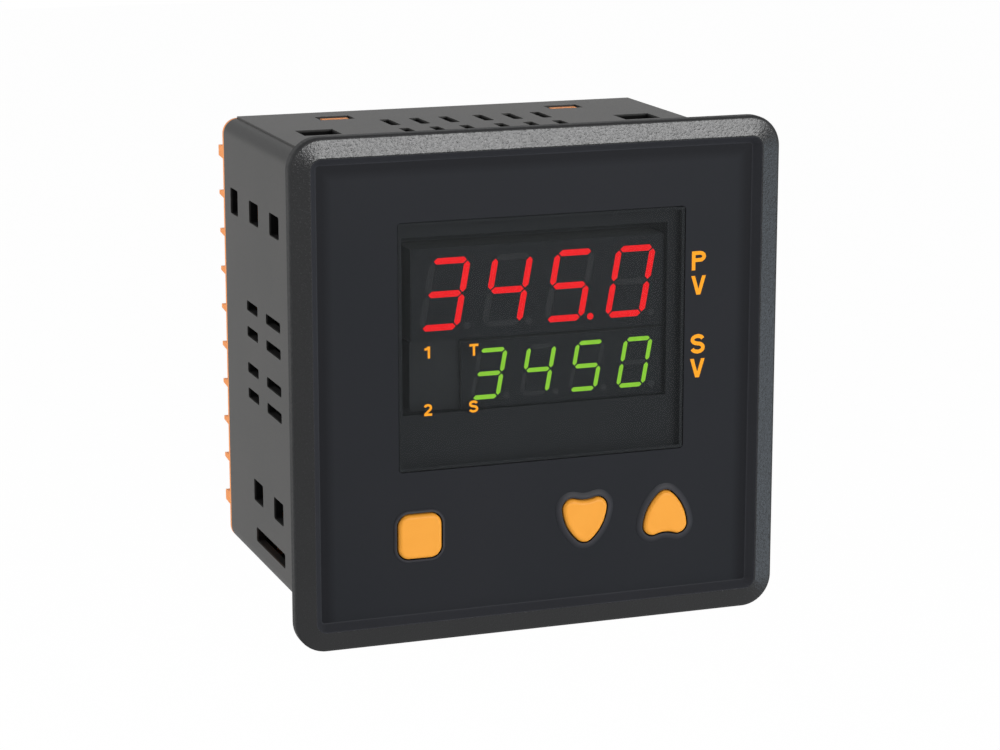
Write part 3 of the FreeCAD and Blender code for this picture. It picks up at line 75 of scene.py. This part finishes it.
def srgb(r, g, b):
    """A colour given in 0 to 255, as linear light."""
    out = []
    for c in (r, g, b):
        c = c / 255
        out.append(c / 12.92 if c <= 0.04045 else ((c + 0.055) / 1.055) ** 2.4)
    return (*out, 1.0)


class Look:
    """A node material under construction."""

    def __init__(self, name, roughness=0.5, specular=0.5, metallic=0.0):
        self.material = bpy.data.materials.new(name)
        self.material.use_nodes = True
        self.tree = self.material.node_tree
        self.shader = self.tree.nodes["Principled BSDF"]
        self.shader.inputs["Roughness"].default_value = roughness
        self.shader.inputs["Specular IOR Level"].default_value = specular
        self.shader.inputs["Metallic"].default_value = metallic
        self.place = self.node("ShaderNodeTexCoord").outputs["Object"]

    def plug(self, value, socket):
        """Link another node's output to a socket, or set a plain value on it."""
        if isinstance(value, bpy.types.NodeSocket):
            self.tree.links.new(value, socket)
        else:
            socket.default_value = value

    def node(self, kind, **inputs):
        made = self.tree.nodes.new(kind)
        for key, value in inputs.items():
            self.plug(value, made.inputs[key])
        return made

    def noise(self, scale, detail=2.0, roughness=0.5, place=None):
        """A cloudy value about 0.5, finer as the scale grows."""
        made = self.node("ShaderNodeTexNoise", Vector=place or self.place, Scale=scale)
        made.inputs["Detail"].default_value = detail
        made.inputs["Roughness"].default_value = roughness
        return made.outputs["Fac"]

    def ramp(self, value, stops):
        made = self.node("ShaderNodeValToRGB", Fac=value)
        ramp = made.color_ramp
        while len(ramp.elements) < len(stops):
            ramp.elements.new(0.5)
        for element, (at, colour) in zip(ramp.elements, stops):
            element.position = at
            element.color = colour
        return made.outputs["Color"]

    def cloud(self, scale, detail, dark, light):
        """A colour that drifts between two shades."""
        return self.ramp(self.noise(scale, detail), [(0.3, dark), (0.7, light)])

    def remap(self, value, start, end, low=0.0, high=1.0):
        """A value's run from start to end, brought to a run from low to high."""
        made = self.node("ShaderNodeMapRange", Value=value)
        for key, number in zip(("From Min", "From Max", "To Min", "To Max"), (start, end, low, high)):
            made.inputs[key].default_value = number
        return made.outputs["Result"]

    def spread(self, noise, low, high):
        """A noise brought to a range."""
        return self.remap(noise, 0.3, 0.7, low, high)

    def math(self, operation, a, b=0.0):
        made = self.tree.nodes.new("ShaderNodeMath")
        made.operation = operation
        self.plug(a, made.inputs[0])
        self.plug(b, made.inputs[1])
        return made.outputs[0]

    def mix(self, factor, a, b):
        made = self.tree.nodes.new("ShaderNodeMix")
        made.data_type = "RGBA"
        for index, value in ((0, factor), (6, a), (7, b)):
            self.plug(value, made.inputs[index])
        return made.outputs[2]

    def axes(self, vector):
        """The X, Y and Z of a vector."""
        return self.node("ShaderNodeSeparateXYZ", Vector=vector).outputs

    def normal(self):
        return self.node("ShaderNodeNewGeometry").outputs["Normal"]

    def give(self, key, value):
        self.plug(value, self.shader.inputs[key])

    def bump(self, height, strength=0.3, distance=0.00005):
        made = self.node("ShaderNodeBump", Height=height, Strength=strength, Distance=distance)
        self.give("Normal", made.outputs["Normal"])


def shades(colour, low, high):
    return [
        tuple(c * low for c in colour[:3]) + (1.0,),
        tuple(c * high for c in colour[:3]) + (1.0,),
    ]


def plastic(name, colour, roughness=0.45, specular=0.5, grain=9000, bump=0.25, vary=0.1):
    """Moulded plastic: faint cloudy colour, a fine eroded grain and uneven gloss."""
    look = Look(name, roughness, specular)
    look.give("Base Color", look.cloud(60, 3, *shades(colour, 1 - vary, 1 + vary)))
    fine = look.noise(grain, 3, 0.7)
    look.give("Roughness", look.spread(fine, roughness - 0.06, roughness + 0.08))
    look.bump(fine, bump)
    return look


def metal(name, colour, roughness=0.3, grain=2500):
    look = Look(name, roughness, 0.5, 1.0)
    stretched = look.node("ShaderNodeMapping", Vector=look.place)
    stretched.inputs["Scale"].default_value = (1.0, 0.15, 1.0)
    fine = look.noise(grain, 3, 0.6, stretched.outputs["Vector"])
    dark, light = shades(colour, 0.82, 1.1)
    look.give("Base Color", look.ramp(fine, [(0.25, dark), (0.75, light)]))
    look.give("Roughness", look.spread(fine, roughness - 0.08, roughness + 0.12))
    look.bump(fine, 0.15)
    return look


def glow(name, colour, strength):
    """A lit segment: even light, with a very slight variation."""
    look = Look(name, 0.5, 0.3)
    look.give("Base Color", tuple(c * 0.4 for c in colour[:3]) + (1.0,))
    look.give("Emission Color", look.cloud(900, 2, *shades(colour, 0.94, 1.04)))
    look.give("Emission Strength", strength)
    look.material.cycles.emission_sampling = "NONE"
    return look


def inside_shade_mask(look, wall=0.35 * MM):
    """Where shade is painted: 0 on the outside of the case and 1 inside its walls, slots and vents."""
    case_half, flat_half, shell, flats, corner = 44.3 * MM, 41.5 * MM, 43.0 * MM, 0.4 * MM, 3.0 * MM
    skin = 0.12 * MM
    place = look.axes(look.place)
    across = look.math("ABSOLUTE", place["X"])
    height = look.math("ABSOLUTE", place["Z"])
    raised = look.math("MULTIPLY", look.math("LESS_THAN", across, flat_half), flats)
    u = look.math("SUBTRACT", across, case_half - corner)
    v = look.math("SUBTRACT", look.math("SUBTRACT", height, raised), shell - corner)
    outside_u = look.math("MAXIMUM", u, 0.0)
    outside_v = look.math("MAXIMUM", v, 0.0)
    squares = look.math(
        "ADD", look.math("MULTIPLY", outside_u, outside_u), look.math("MULTIPLY", outside_v, outside_v)
    )
    beyond = look.math("SQRT", squares)
    within = look.math("MINIMUM", look.math("MAXIMUM", u, v), 0.0)
    distance = look.math("SUBTRACT", look.math("ADD", beyond, within), corner)
    return look.remap(distance, -skin, -skin - wall)


def case_look():
    """Dark grey plastic: matt, with painted shade darkening its rounded long edges and painted
    near-black shade within its walls.
    """
    look = Look("case_plastic", 0.5, 0.2)
    inside = inside_shade_mask(look)
    flat = look.cloud(45, 3, srgb(56, 56, 55), srgb(61, 60, 59))
    # Painted shade: where the surface turns round the long edges, the colour is darkened.
    turn = look.axes(look.normal())
    edge = look.math("ABSOLUTE", look.math("MULTIPLY", turn["X"], turn["Z"]))
    skin = look.mix(look.remap(edge, 0.1, 0.4), flat, srgb(34, 34, 34))
    # Painted shade: inside the walls, slots and vents the colour goes near black, as if unlit.
    look.give("Base Color", look.mix(inside, skin, (0.0012, 0.0012, 0.0012, 1)))
    fine = look.noise(6000, 3, 0.7)
    gloss = look.spread(fine, 0.44, 0.56)
    look.give("Roughness", look.math("MAXIMUM", gloss, inside))
    look.bump(fine, 0.1)
    return look


def bezel_look():
    """Spark-eroded glossy plastic with a sparkling grain, matt where it turns aside."""
    look = Look("bezel_plastic", 0.2, 0.38)
    look.give("Base Color", look.cloud(70, 3, srgb(11, 12, 14), srgb(16, 17, 19)))
    coarse = look.noise(2100, 1, 0.6)
    fine = look.noise(4800, 2, 0.6)
    grain = look.math("ADD", coarse, look.math("MULTIPLY", fine, 0.5))
    facing = look.math("ABSOLUTE", look.axes(look.normal())["Y"])
    aside = look.remap(facing, 0.965, 0.85, 0.0, 0.5)
    look.give("Roughness", look.math("ADD", look.spread(coarse, 0.14, 0.28), aside))
    look.bump(grain, 0.5, 0.0001)
    return look


def film_look():
    """Matt polycarbonate film, with painted shade along its sides and top, and a painted highlight
    making the collars paler.
    """
    below_axis = 0.5 * MM  # the face's middle
    edge_shade_start, edge_shade_end = 39.8 * MM, 41.6 * MM
    collar_foot, collar_top = -1.17 * MM, -1.47 * MM
    look = Look("film_plastic", 0.42, 0.1)
    place = look.axes(look.place)
    across = look.math("ABSOLUTE", place["X"])
    height = look.math("ADD", place["Z"], below_axis)
    # Painted shade: the film darkens towards its sides and top, next to the bezel's lip.
    border = look.remap(look.math("MAXIMUM", across, height), edge_shade_start, edge_shade_end)
    # Painted highlight: the raised collars round the keys are painted paler than the film.
    raised = look.remap(place["Y"], collar_foot, collar_top)
    middle = look.cloud(30, 2, srgb(31, 33, 37), srgb(34, 35, 39))
    flat = look.mix(border, middle, srgb(22, 23, 27))
    look.give("Base Color", look.mix(raised, flat, srgb(58, 58, 62)))
    fine = look.noise(9000, 2)
    look.give("Roughness", look.spread(fine, 0.38, 0.46))
    look.bump(fine, 0.04)
    return look


def key_look():
    """Soft orange plastic with a very fine grain."""
    look = Look("key_plastic", 0.5, 0.3)
    look.give("Base Color", look.cloud(200, 2, srgb(241, 160, 50), srgb(244, 164, 55)))
    fine = look.noise(9000, 2)
    look.give("Roughness", look.spread(fine, 0.42, 0.52))
    look.bump(fine, 0.05)
    return look


def cover_look():
    """Orange plastic, with painted shade, a darker orange, where the case shuts it in."""
    case_end = 57.9 * MM
    look = Look("cover_plastic", 0.5, 0.3)
    inside = inside_shade_mask(look, 1.6 * MM)
    in_case = look.math("LESS_THAN", look.axes(look.place)["Y"], case_end)
    # Painted shade: where the case shuts the cover in, it is painted a darker orange.
    shut_in_shade = look.math("MULTIPLY", inside, in_case)
    skin = look.cloud(120, 2, srgb(245, 151, 74), srgb(247, 153, 77))
    look.give("Base Color", look.mix(shut_in_shade, skin, srgb(235, 135, 50)))
    fine = look.noise(8000, 3)
    look.give("Roughness", look.spread(fine, 0.45, 0.58))
    look.bump(fine, 0.08)
    return look


def module_look(name):
    """A display block: a dark face and paler moulded sides."""
    look = Look(name, 0.6, 0.0)
    facing = look.math("GREATER_THAN", look.math("ABSOLUTE", look.axes(look.normal())["Y"]), 0.6)
    face = look.cloud(150, 2, srgb(62, 65, 68), srgb(64, 67, 70))
    look.give("Base Color", look.mix(facing, srgb(120, 124, 124), face))
    look.give("Roughness", look.spread(look.noise(5000, 2), 0.55, 0.65))
    return look


case_plastic = case_look()
bezel_plastic = bezel_look()
film_plastic = film_look()
bead_plastic = plastic("bead_plastic", srgb(45, 46, 50), 0.6, 0.1, grain=6000, bump=0.03, vary=0.05)
key_plastic = key_look()
cover_plastic = cover_look()
unlit = plastic("unlit_segment", srgb(82, 85, 87), 0.6, 0.0, grain=6000, bump=0.02, vary=0.03)
lamp_sheet = plastic("lamp_sheet", srgb(74, 77, 79), 0.6, 0.0, grain=4000, bump=0.02, vary=0.03)
board_mask = plastic("solder_mask", srgb(88, 92, 94), 0.6, 0.0, grain=3000, bump=0.03, vary=0.03)
header = plastic("header_plastic", srgb(15, 15, 16), 0.55, 0.1)
laminate = plastic("laminate", srgb(10, 17, 14), 0.5, 0.1, grain=1500, bump=0.1)
print_ink = plastic("print_ink", srgb(255, 166, 38), 0.6, 0.1, grain=9000, bump=0.02, vary=0.02)
steel = metal("steel", srgb(196, 194, 188), 0.32)
brass = metal("brass", srgb(205, 176, 118), 0.3)
red_light = glow("red_light", (1.0, 0.002, 0.006, 1), 1.46)
green_light = glow("green_light", (0.36, 0.86, 0.04, 1), 1.13)
mask_ink = plastic("mask_ink", srgb(52, 54, 56), 0.6, 0.0, grain=5000, bump=0.02, vary=0.03)

window_look = Look("smoked_window", 0.4, 0.1)
window_look.give("Base Color", window_look.cloud(40, 2, srgb(43, 45, 46), srgb(45, 47, 48)))
window_look.give("Roughness", window_look.spread(window_look.noise(300, 2), 0.38, 0.46))
window_look.give("Alpha", 0.3)

LOOKS = {
    "front_bezel": bezel_plastic,
    "front_overlay": film_plastic,
    "display_window": window_look,
    "mode_key": key_plastic,
    "down_key": key_plastic,
    "up_key": key_plastic,
    "mode_switch": header,
    "down_switch": header,
    "up_switch": header,
    "mode_plunger": plastic("plunger", srgb(36, 36, 38), 0.4),
    "down_plunger": plastic("plunger_b", srgb(36, 36, 38), 0.4),
    "up_plunger": plastic("plunger_c", srgb(36, 36, 38), 0.4),
    "display_board": board_mask,
    "board_screws": steel,
    "pv_display": module_look("pv_module"),
    "sv_display": module_look("sv_module"),
    "lamp_baffle": header,
    "output_lamp": plastic("lamp_lens", srgb(60, 60, 57), 0.25, grain=3000),
    "alarm_lamp": plastic("lamp_lens_b", srgb(60, 60, 57), 0.25, grain=3000),
    "tune_lamp": plastic("lamp_lens_c", srgb(60, 60, 57), 0.25, grain=3000),
    "soak_lamp": plastic("lamp_lens_d", srgb(60, 60, 57), 0.25, grain=3000),
    "rear_case": case_plastic,
    "terminal_cover": cover_plastic,
    "left_lugs": brass,
    "right_lugs": brass,
    "terminal_clamps": steel,
    "terminal_screws": steel,
    "power_board": laminate,
    "control_board": laminate,
    "power_header": header,
    "control_header": header,
    "transformer_core": plastic("ferrite", srgb(50, 50, 53), 0.6, grain=2000),
    "transformer_winding": plastic("tape", srgb(190, 150, 70), 0.4, grain=1500),
    "bulk_capacitor": plastic("sleeve", srgb(30, 34, 60), 0.3, grain=2500),
    "output_relay": plastic("relay", srgb(28, 52, 110), 0.35),
    "alarm_relay": plastic("relay_b", srgb(28, 52, 110), 0.35),
    "mains_fuse": plastic("fuse", srgb(170, 172, 168), 0.15),
    "surge_varistor": plastic("varistor", srgb(30, 70, 150), 0.35),
    "rectifier": header,
    "processor": header,
    "crystal": steel,
    "input_amplifier": header,
}

for name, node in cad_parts.items():
    node.data.materials.clear()
    node.data.materials.append(LOOKS[name].material)


# ---- pieces -----------------------------------------------------------------------------


def add_mesh(name, build, look, body):
    """A mesh piece made by build(bm), given a look and set to ride a body."""
    bm = bmesh.new()
    build(bm)
    data = bpy.data.meshes.new(name)
    bm.to_mesh(data)
    bm.free()
    made = bpy.data.objects.new(name, data)
    scene.collection.objects.link(made)
    data.materials.append(look.material)
    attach(made, body)


def prism(bm, outline, front, back):
    """A flat bar from an outline in X and Z, between two depths in Y."""
    near = [bm.verts.new((x, front, z)) for x, z in outline]
    far = [bm.verts.new((x, back, z)) for x, z in outline]
    count = len(outline)
    bm.faces.new(near)
    bm.faces.new(far[::-1])
    for i in range(count):
        j = (i + 1) % count
        bm.faces.new((near[j], near[i], far[i], far[j]))


def segment_outlines(tall, wide, stroke, gap, lean):
    """The seven bars of a digit about its middle, by letter."""
    column, row = (wide - stroke) / 2, (tall - stroke) / 2
    ends = {
        "a": ((-column, row), (column, row)),
        "g": ((-column, 0), (column, 0)),
        "d": ((-column, -row), (column, -row)),
        "f": ((-column, row), (-column, 0)),
        "b": ((column, row), (column, 0)),
        "e": ((-column, 0), (-column, -row)),
        "c": ((column, 0), (column, -row)),
    }
    shapes = {}
    half = stroke / 2
    for letter, ((u0, v0), (u1, v1)) in ends.items():
        length = math.hypot(u1 - u0, v1 - v0)
        du, dv = (u1 - u0) / length, (v1 - v0) / length
        points = []
        for along, aside in (
            (gap, 0),
            (gap + half, half),
            (length - gap - half, half),
            (length - gap, 0),
            (length - gap - half, -half),
            (gap + half, -half),
        ):
            u = u0 + du * along - dv * aside
            v = v0 + dv * along + du * aside
            points.append((u + v * lean, v))
        shapes[letter] = points
    return shapes


DIGITS = {"0": "abcdef", "3": "abgcd", "4": "fgbc", "5": "afgcd"}
PROUD = 0.01 * MM  # how far thin sheets stand off what they lie on
FIT = 0.02 * MM  # between a segment and the recess that it fills
SEGMENT_DEPTH = 0.16 * MM
SEGMENT_GAP = 0.2 * MM
LEAN = 0.18
POINT_RADIUS = 0.65 * MM
POINT_OFFSET = 1.35 * MM


def display(prefix, reading, point_after, tall, wide, stroke, pitch, lit_look):
    """Lit and unlit segments of a reading, each set just inside its recess."""
    low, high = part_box(f"{prefix}_display")
    middle = Vector(((low.x + high.x) / 2, low.y, (low.z + high.z) / 2))
    front = low.y + FIT
    back = front + SEGMENT_DEPTH
    shapes = segment_outlines(tall, wide, stroke - 2 * FIT, SEGMENT_GAP, LEAN)
    row = (tall - stroke) / 2
    radius = POINT_RADIUS - FIT

    def draw(lit):
        def build(bm):
            for i, digit in enumerate(reading):
                x = middle.x + (i - (len(reading) - 1) / 2) * pitch
                for letter, outline in shapes.items():
                    if (letter in DIGITS[digit]) == lit:
                        moved = [(x + u, middle.z + v) for u, v in outline]
                        prism(bm, moved, front, back)
                if (i == point_after) == lit:
                    at_x, at_z = x + wide / 2 + POINT_OFFSET - row * LEAN, middle.z - row
                    turns = [-2 * math.pi * k / 24 for k in range(24)]
                    ring = [(at_x + radius * math.cos(t), at_z + radius * math.sin(t)) for t in turns]
                    prism(bm, ring, front, back)

        return build

    add_mesh(f"{prefix}_lit", draw(True), lit_look, "case")
    add_mesh(f"{prefix}_unlit", draw(False), unlit, "case")


def window_mask(bm):
    """The opaque ink in the window, left clear over the displays and lamps."""
    low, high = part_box("display_window")
    pv_low, pv_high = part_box("pv_display")
    sv_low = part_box("sv_display")[0]
    edge = 1.7 * MM  # the window's flange and fit, which the film hides
    border, clear, beside, under = 0.6 * MM, 2.4 * MM, 0.3 * MM, 0.1 * MM
    thick = 0.06 * MM
    pane = (low.x + edge, high.x - edge, low.z + edge, high.z - edge)
    rim = (pane[0] + border, pane[1] - border, pane[2] + border, pane[3] - border)
    opening = (pv_low.x - clear, pv_high.x + beside, sv_low.z - under, pv_high.z + clear)

    def corners(sides, y):
        x0, x1, z0, z1 = sides
        return [bm.verts.new((x, y, z)) for x, z in ((x0, z0), (x1, z0), (x1, z1), (x0, z1))]

    for inner, front in ((rim, low.y + 0.1 * MM), (opening, low.y + 1.6 * MM)):
        back = front + thick
        rings = [corners(pane, front), corners(inner, front), corners(inner, back), corners(pane, back)]
        for a, b in zip(rings, rings[1:] + rings[:1]):
            for i in range(4):
                j = (i + 1) % 4
                bm.faces.new((a[i], a[j], b[j], b[i]))


add_mesh("window_mask", window_mask, mask_ink, "case")


def diffuser(bm):
    """The sheet that hides the four lamp wells while their lamps are dark."""
    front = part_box("lamp_baffle")[0].y
    above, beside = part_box("pv_display")[0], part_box("sv_display")[0]
    gap, corner = 0.1 * MM, 0.4 * MM
    left, right = above.x + corner, beside.x - gap - corner
    low, high = beside.z + corner, above.z - gap - corner
    outline = []
    for quarter, (at_x, at_z) in enumerate(((right, high), (left, high), (left, low), (right, low))):
        for k in range(5):
            turn = math.radians(90 * (quarter + k / 4))
            outline.append((at_x + corner * math.cos(turn), at_z + corner * math.sin(turn)))
    prism(bm, outline[::-1], front - 0.12 * MM, front - PROUD)


add_mesh("lamp_diffuser", diffuser, lamp_sheet, "case")
display(
    "pv", "3450", point_after=2, lit_look=red_light,
    tall=13.6 * MM, wide=8.0 * MM, stroke=1.2 * MM, pitch=12.3 * MM,
)
display(
    "sv", "3450", point_after=-1, lit_look=green_light,
    tall=9.7 * MM, wide=5.85 * MM, stroke=0.85 * MM, pitch=9.75 * MM,
)


# ---- bead round the face ------------------------------------------------------------------


def ring_outline(half, corner, level, steps=8):
    """A rounded square about the middle, in X and Z."""
    points = []
    reach = half - corner
    for quarter, (x, z) in enumerate(((1, 1), (-1, 1), (-1, -1), (1, -1))):
        for k in range(steps + 1):
            turn = math.radians(90 * (quarter + k / steps))
            u = x * reach + corner * math.cos(turn)
            w = level + z * reach + corner * math.sin(turn)
            points.append((u, w))
    return points


# Inset from the face's edge in millimetres, and share of the way down from lip to film.
BEAD_PROFILE = (
    (-0.27, 0.007), (-0.2, 0), (-0.1, 0.018), (0.02, 0.085), (0.98, 0.94), (1.08, 0.985), (1.25, 1),
)
BEAD_CORNER = 1.8  # in millimetres
BEAD_REACH = 0.15 * MM  # from the film's edge out to the bezel's inner wall


def bead(bm):
    """The soft slope that runs from the bezel's lip down on to the film."""
    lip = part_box("front_bezel")[0].y
    film_low, film_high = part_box("front_overlay")
    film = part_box("display_window")[0].y
    half = (film_high.x - film_low.x) / 2 + BEAD_REACH
    level = (film_high.z + film_low.z) / 2
    rows = []
    for inset, sunk in BEAD_PROFILE:
        y = lip + (film - PROUD - lip) * sunk
        outline = ring_outline(half - inset * MM, (BEAD_CORNER - inset) * MM, level)
        rows.append([bm.verts.new((x, y, z)) for x, z in outline])
    for a, b in zip(rows, rows[1:]):
        for i in range(len(a)):
            j = (i + 1) % len(a)
            bm.faces.new((a[j], b[j], b[i], a[i]))
    for face in bm.faces:
        face.smooth = True


add_mesh("face_bead", bead, bead_plastic, "case")


# ---- printed letters --------------------------------------------------------------------


def arc(x, z, wide, tall, start, end, steps=14):
    """Points round part of an ellipse, from one angle to another in degrees."""
    turns = [math.radians(start + (end - start) * k / steps) for k in range(steps + 1)]
    return [(x + wide * math.cos(t), z + tall * math.sin(t)) for t in turns]


INK, INK_STEP = 0.015 * MM, 0.004 * MM  # a letter's thickness, and what each further stroke adds
PEN = 0.2  # the stroke of a letter one unit tall
NIB = PEN / 2
LETTERS = {
    "P": (0.78, [
        [(NIB, 0), (NIB, 1)],
        [(NIB, 1 - NIB)] + arc(0.44, 0.72, 0.245, 0.185, 90, -90) + [(NIB, 0.535)],
    ]),
    "V": (0.82, [[(0, 1), (0.21, 1), (0.41, 0.3), (0.61, 1), (0.82, 1), (0.52, 0), (0.3, 0)]]),
    "S": (0.8, [
        arc(0.4, 0.715, 0.285, 0.19, 15, 265) + arc(0.4, 0.305, 0.3, 0.21, 90, -165),
    ]),
    "T": (0.78, [[(0, 1 - NIB), (0.78, 1 - NIB)], [(0.39, 0), (0.39, 1 - NIB)]]),
    "1": (0.5, [[(0.4, 0), (0.4, 1)], [(0.02, 0.76), (0.24, 0.79), (0.36, 0.94)]]),
    "2": (0.74, [
        arc(0.36, 0.68, 0.265, 0.225, 165, -38) + [(0.16, 0.16), (0.12, NIB)],
        [(0.04, NIB), (0.72, NIB)],
    ]),
}


def ribbon(bm, points, half, front, back):
    """A stroke of even width along points in X and Z, between two depths in Y."""
    rows = []
    for i, (x, z) in enumerate(points):
        before, after = points[max(i - 1, 0)], points[min(i + 1, len(points) - 1)]
        along = Vector((after[0] - before[0], after[1] - before[1])).normalized()
        side = Vector((-along.y, along.x)) * half
        corners = ((x + side.x, z + side.y), (x - side.x, z - side.y))
        rows.append([bm.verts.new((u, y, w)) for y in (front, back) for u, w in corners])
    for a, b in zip(rows, rows[1:]):
        bm.faces.new((a[0], a[1], b[1], b[0]))
        bm.faces.new((a[2], b[2], b[3], a[3]))
        bm.faces.new((a[0], b[0], b[2], a[2]))
        bm.faces.new((a[1], a[3], b[3], b[1]))
    bm.faces.new((rows[0][0], rows[0][2], rows[0][3], rows[0][1]))
    bm.faces.new((rows[-1][0], rows[-1][1], rows[-1][3], rows[-1][2]))


def letter(name, sign, x, z, tall, face):
    """One printed letter standing a hair proud of a face, centred on x and z."""
    wide, strokes = LETTERS[sign]

    def build(bm):
        for layer, stroke in enumerate(strokes):
            points = [(x + (u - wide / 2) * tall, z + (w - 0.5) * tall) for u, w in stroke]
            front = face - (INK + INK_STEP * layer)
            if sign == "V":
                prism(bm, points[::-1], front, face + PROUD)
            else:
                ribbon(bm, points, NIB * tall, front, face + PROUD)

    add_mesh(name, build, print_ink, "case")


film_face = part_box("display_window")[0].y
for name, sign, x, z, tall in (
    ("pv_p", "P", 32.15, 20.33, 3.65),
    ("pv_v", "V", 32.15, 15.62, 3.65),
    ("sv_s", "S", 32.15, 4.27, 3.75),
    ("sv_v", "V", 32.15, -0.43, 3.65),
    ("lamp_1", "1", -21.9, 6.6, 2.25),
    ("lamp_2", "2", -21.8, -4.25, 2.25),
    ("lamp_t", "T", -12.8, 6.45, 2.25),
    ("lamp_s", "S", -12.9, -4.3, 2.3),
):
    letter(name, sign, x * MM, z * MM, tall * MM, film_face)


# ---- floor and light ----------------------------------------------------------------------


def background_ray(tree):
    """1 for rays that see the backdrop straight, by reflection or through glass."""
    ray = tree.nodes.new("ShaderNodeLightPath")
    seen = ray.outputs["Is Camera Ray"]
    for also in ("Is Glossy Ray", "Is Transmission Ray"):
        either = tree.nodes.new("ShaderNodeMath")
        either.operation = "MAXIMUM"
        tree.links.new(seen, either.inputs[0])
        tree.links.new(ray.outputs[also], either.inputs[1])
        seen = either.outputs[0]
    return seen


floor_look = Look("floor", 0.8, 0.1)
floor_look.give("Base Color", floor_look.cloud(20, 2, (0.86, 0.86, 0.86, 1), (0.9, 0.9, 0.9, 1)))
tree = floor_look.tree
white = tree.nodes.new("ShaderNodeEmission")
white.inputs["Color"].default_value = (1, 1, 1, 1)
white.inputs["Strength"].default_value = 1.06
share = tree.nodes.new("ShaderNodeMath")
share.operation = "MULTIPLY"
tree.links.new(background_ray(tree), share.inputs[0])
share.inputs[1].default_value = 0.9
choice = tree.nodes.new("ShaderNodeMixShader")
tree.links.new(share.outputs[0], choice.inputs["Fac"])
tree.links.new(floor_look.shader.outputs["BSDF"], choice.inputs[1])
tree.links.new(white.outputs["Emission"], choice.inputs[2])
tree.links.new(choice.outputs["Shader"], tree.nodes["Material Output"].inputs["Surface"])

floor_data = bpy.data.meshes.new("floor")
FLOOR_HALF, FLOOR_DROP = 6.0, 0.5
level = CAD_BOX[0][2] - FLOOR_DROP
corners = [(x * FLOOR_HALF, y * FLOOR_HALF, level) for x, y in ((-1, -1), (1, -1), (1, 1), (-1, 1))]
floor_data.from_pydata(corners, [], [(0, 1, 2, 3)])
floor = bpy.data.objects.new("floor", floor_data)
floor_data.materials.append(floor_look.material)
scene.collection.objects.link(floor)

world = bpy.data.worlds.new("studio")
scene.world = world
world.use_nodes = True
# Seen straight, the world is white. As light it is dimmer in front than behind.
nodes, links = world.node_tree.nodes, world.node_tree.links
sky = nodes["Background"]
coordinate = nodes.new("ShaderNodeTexCoord")
split = nodes.new("ShaderNodeSeparateXYZ")
links.new(coordinate.outputs["Generated"], split.inputs[0])
depth = nodes.new("ShaderNodeMapRange")
depth.inputs["From Min"].default_value = -0.6
depth.inputs["From Max"].default_value = 0.6
depth.inputs["To Min"].default_value = 0.2
depth.inputs["To Max"].default_value = 0.5
links.new(split.outputs["Y"], depth.inputs["Value"])
pick = nodes.new("ShaderNodeMix")
pick.data_type = "FLOAT"
links.new(background_ray(world.node_tree), pick.inputs[0])
links.new(depth.outputs["Result"], pick.inputs[2])
pick.inputs[3].default_value = 1.0
links.new(pick.outputs[0], sky.inputs["Strength"])
sky.inputs["Color"].default_value = (1, 1, 1, 1)


def softbox(name, toward, distance, width, height, radiance, colour=(1, 1, 1)):
    """A soft lamp in a direction from the object, given by the brightness of its panel."""
    data = bpy.data.lights.new(name, "AREA")
    data.shape = "RECTANGLE"
    data.size = width
    data.size_y = height
    data.energy = radiance * math.pi * width * height
    data.color = colour
    light = bpy.data.objects.new(name, data)
    place = Vector(toward).normalized() * distance
    light.location = place
    light.rotation_euler = (-place).to_track_quat("-Z", "Y").to_euler()
    scene.collection.objects.link(light)


softbox("front_box", (0.34, -0.92, 0.28), 1.6, 0.95, 0.48, 12.0)
softbox("side_box", (-1.6, 0.2, 0.3), 1.7, 1.0, 1.0, 4.3)
softbox("right_box", (0.76, -0.62, -0.23), 1.3, 0.4, 0.5, 2.6, (0.72, 0.86, 1.0))
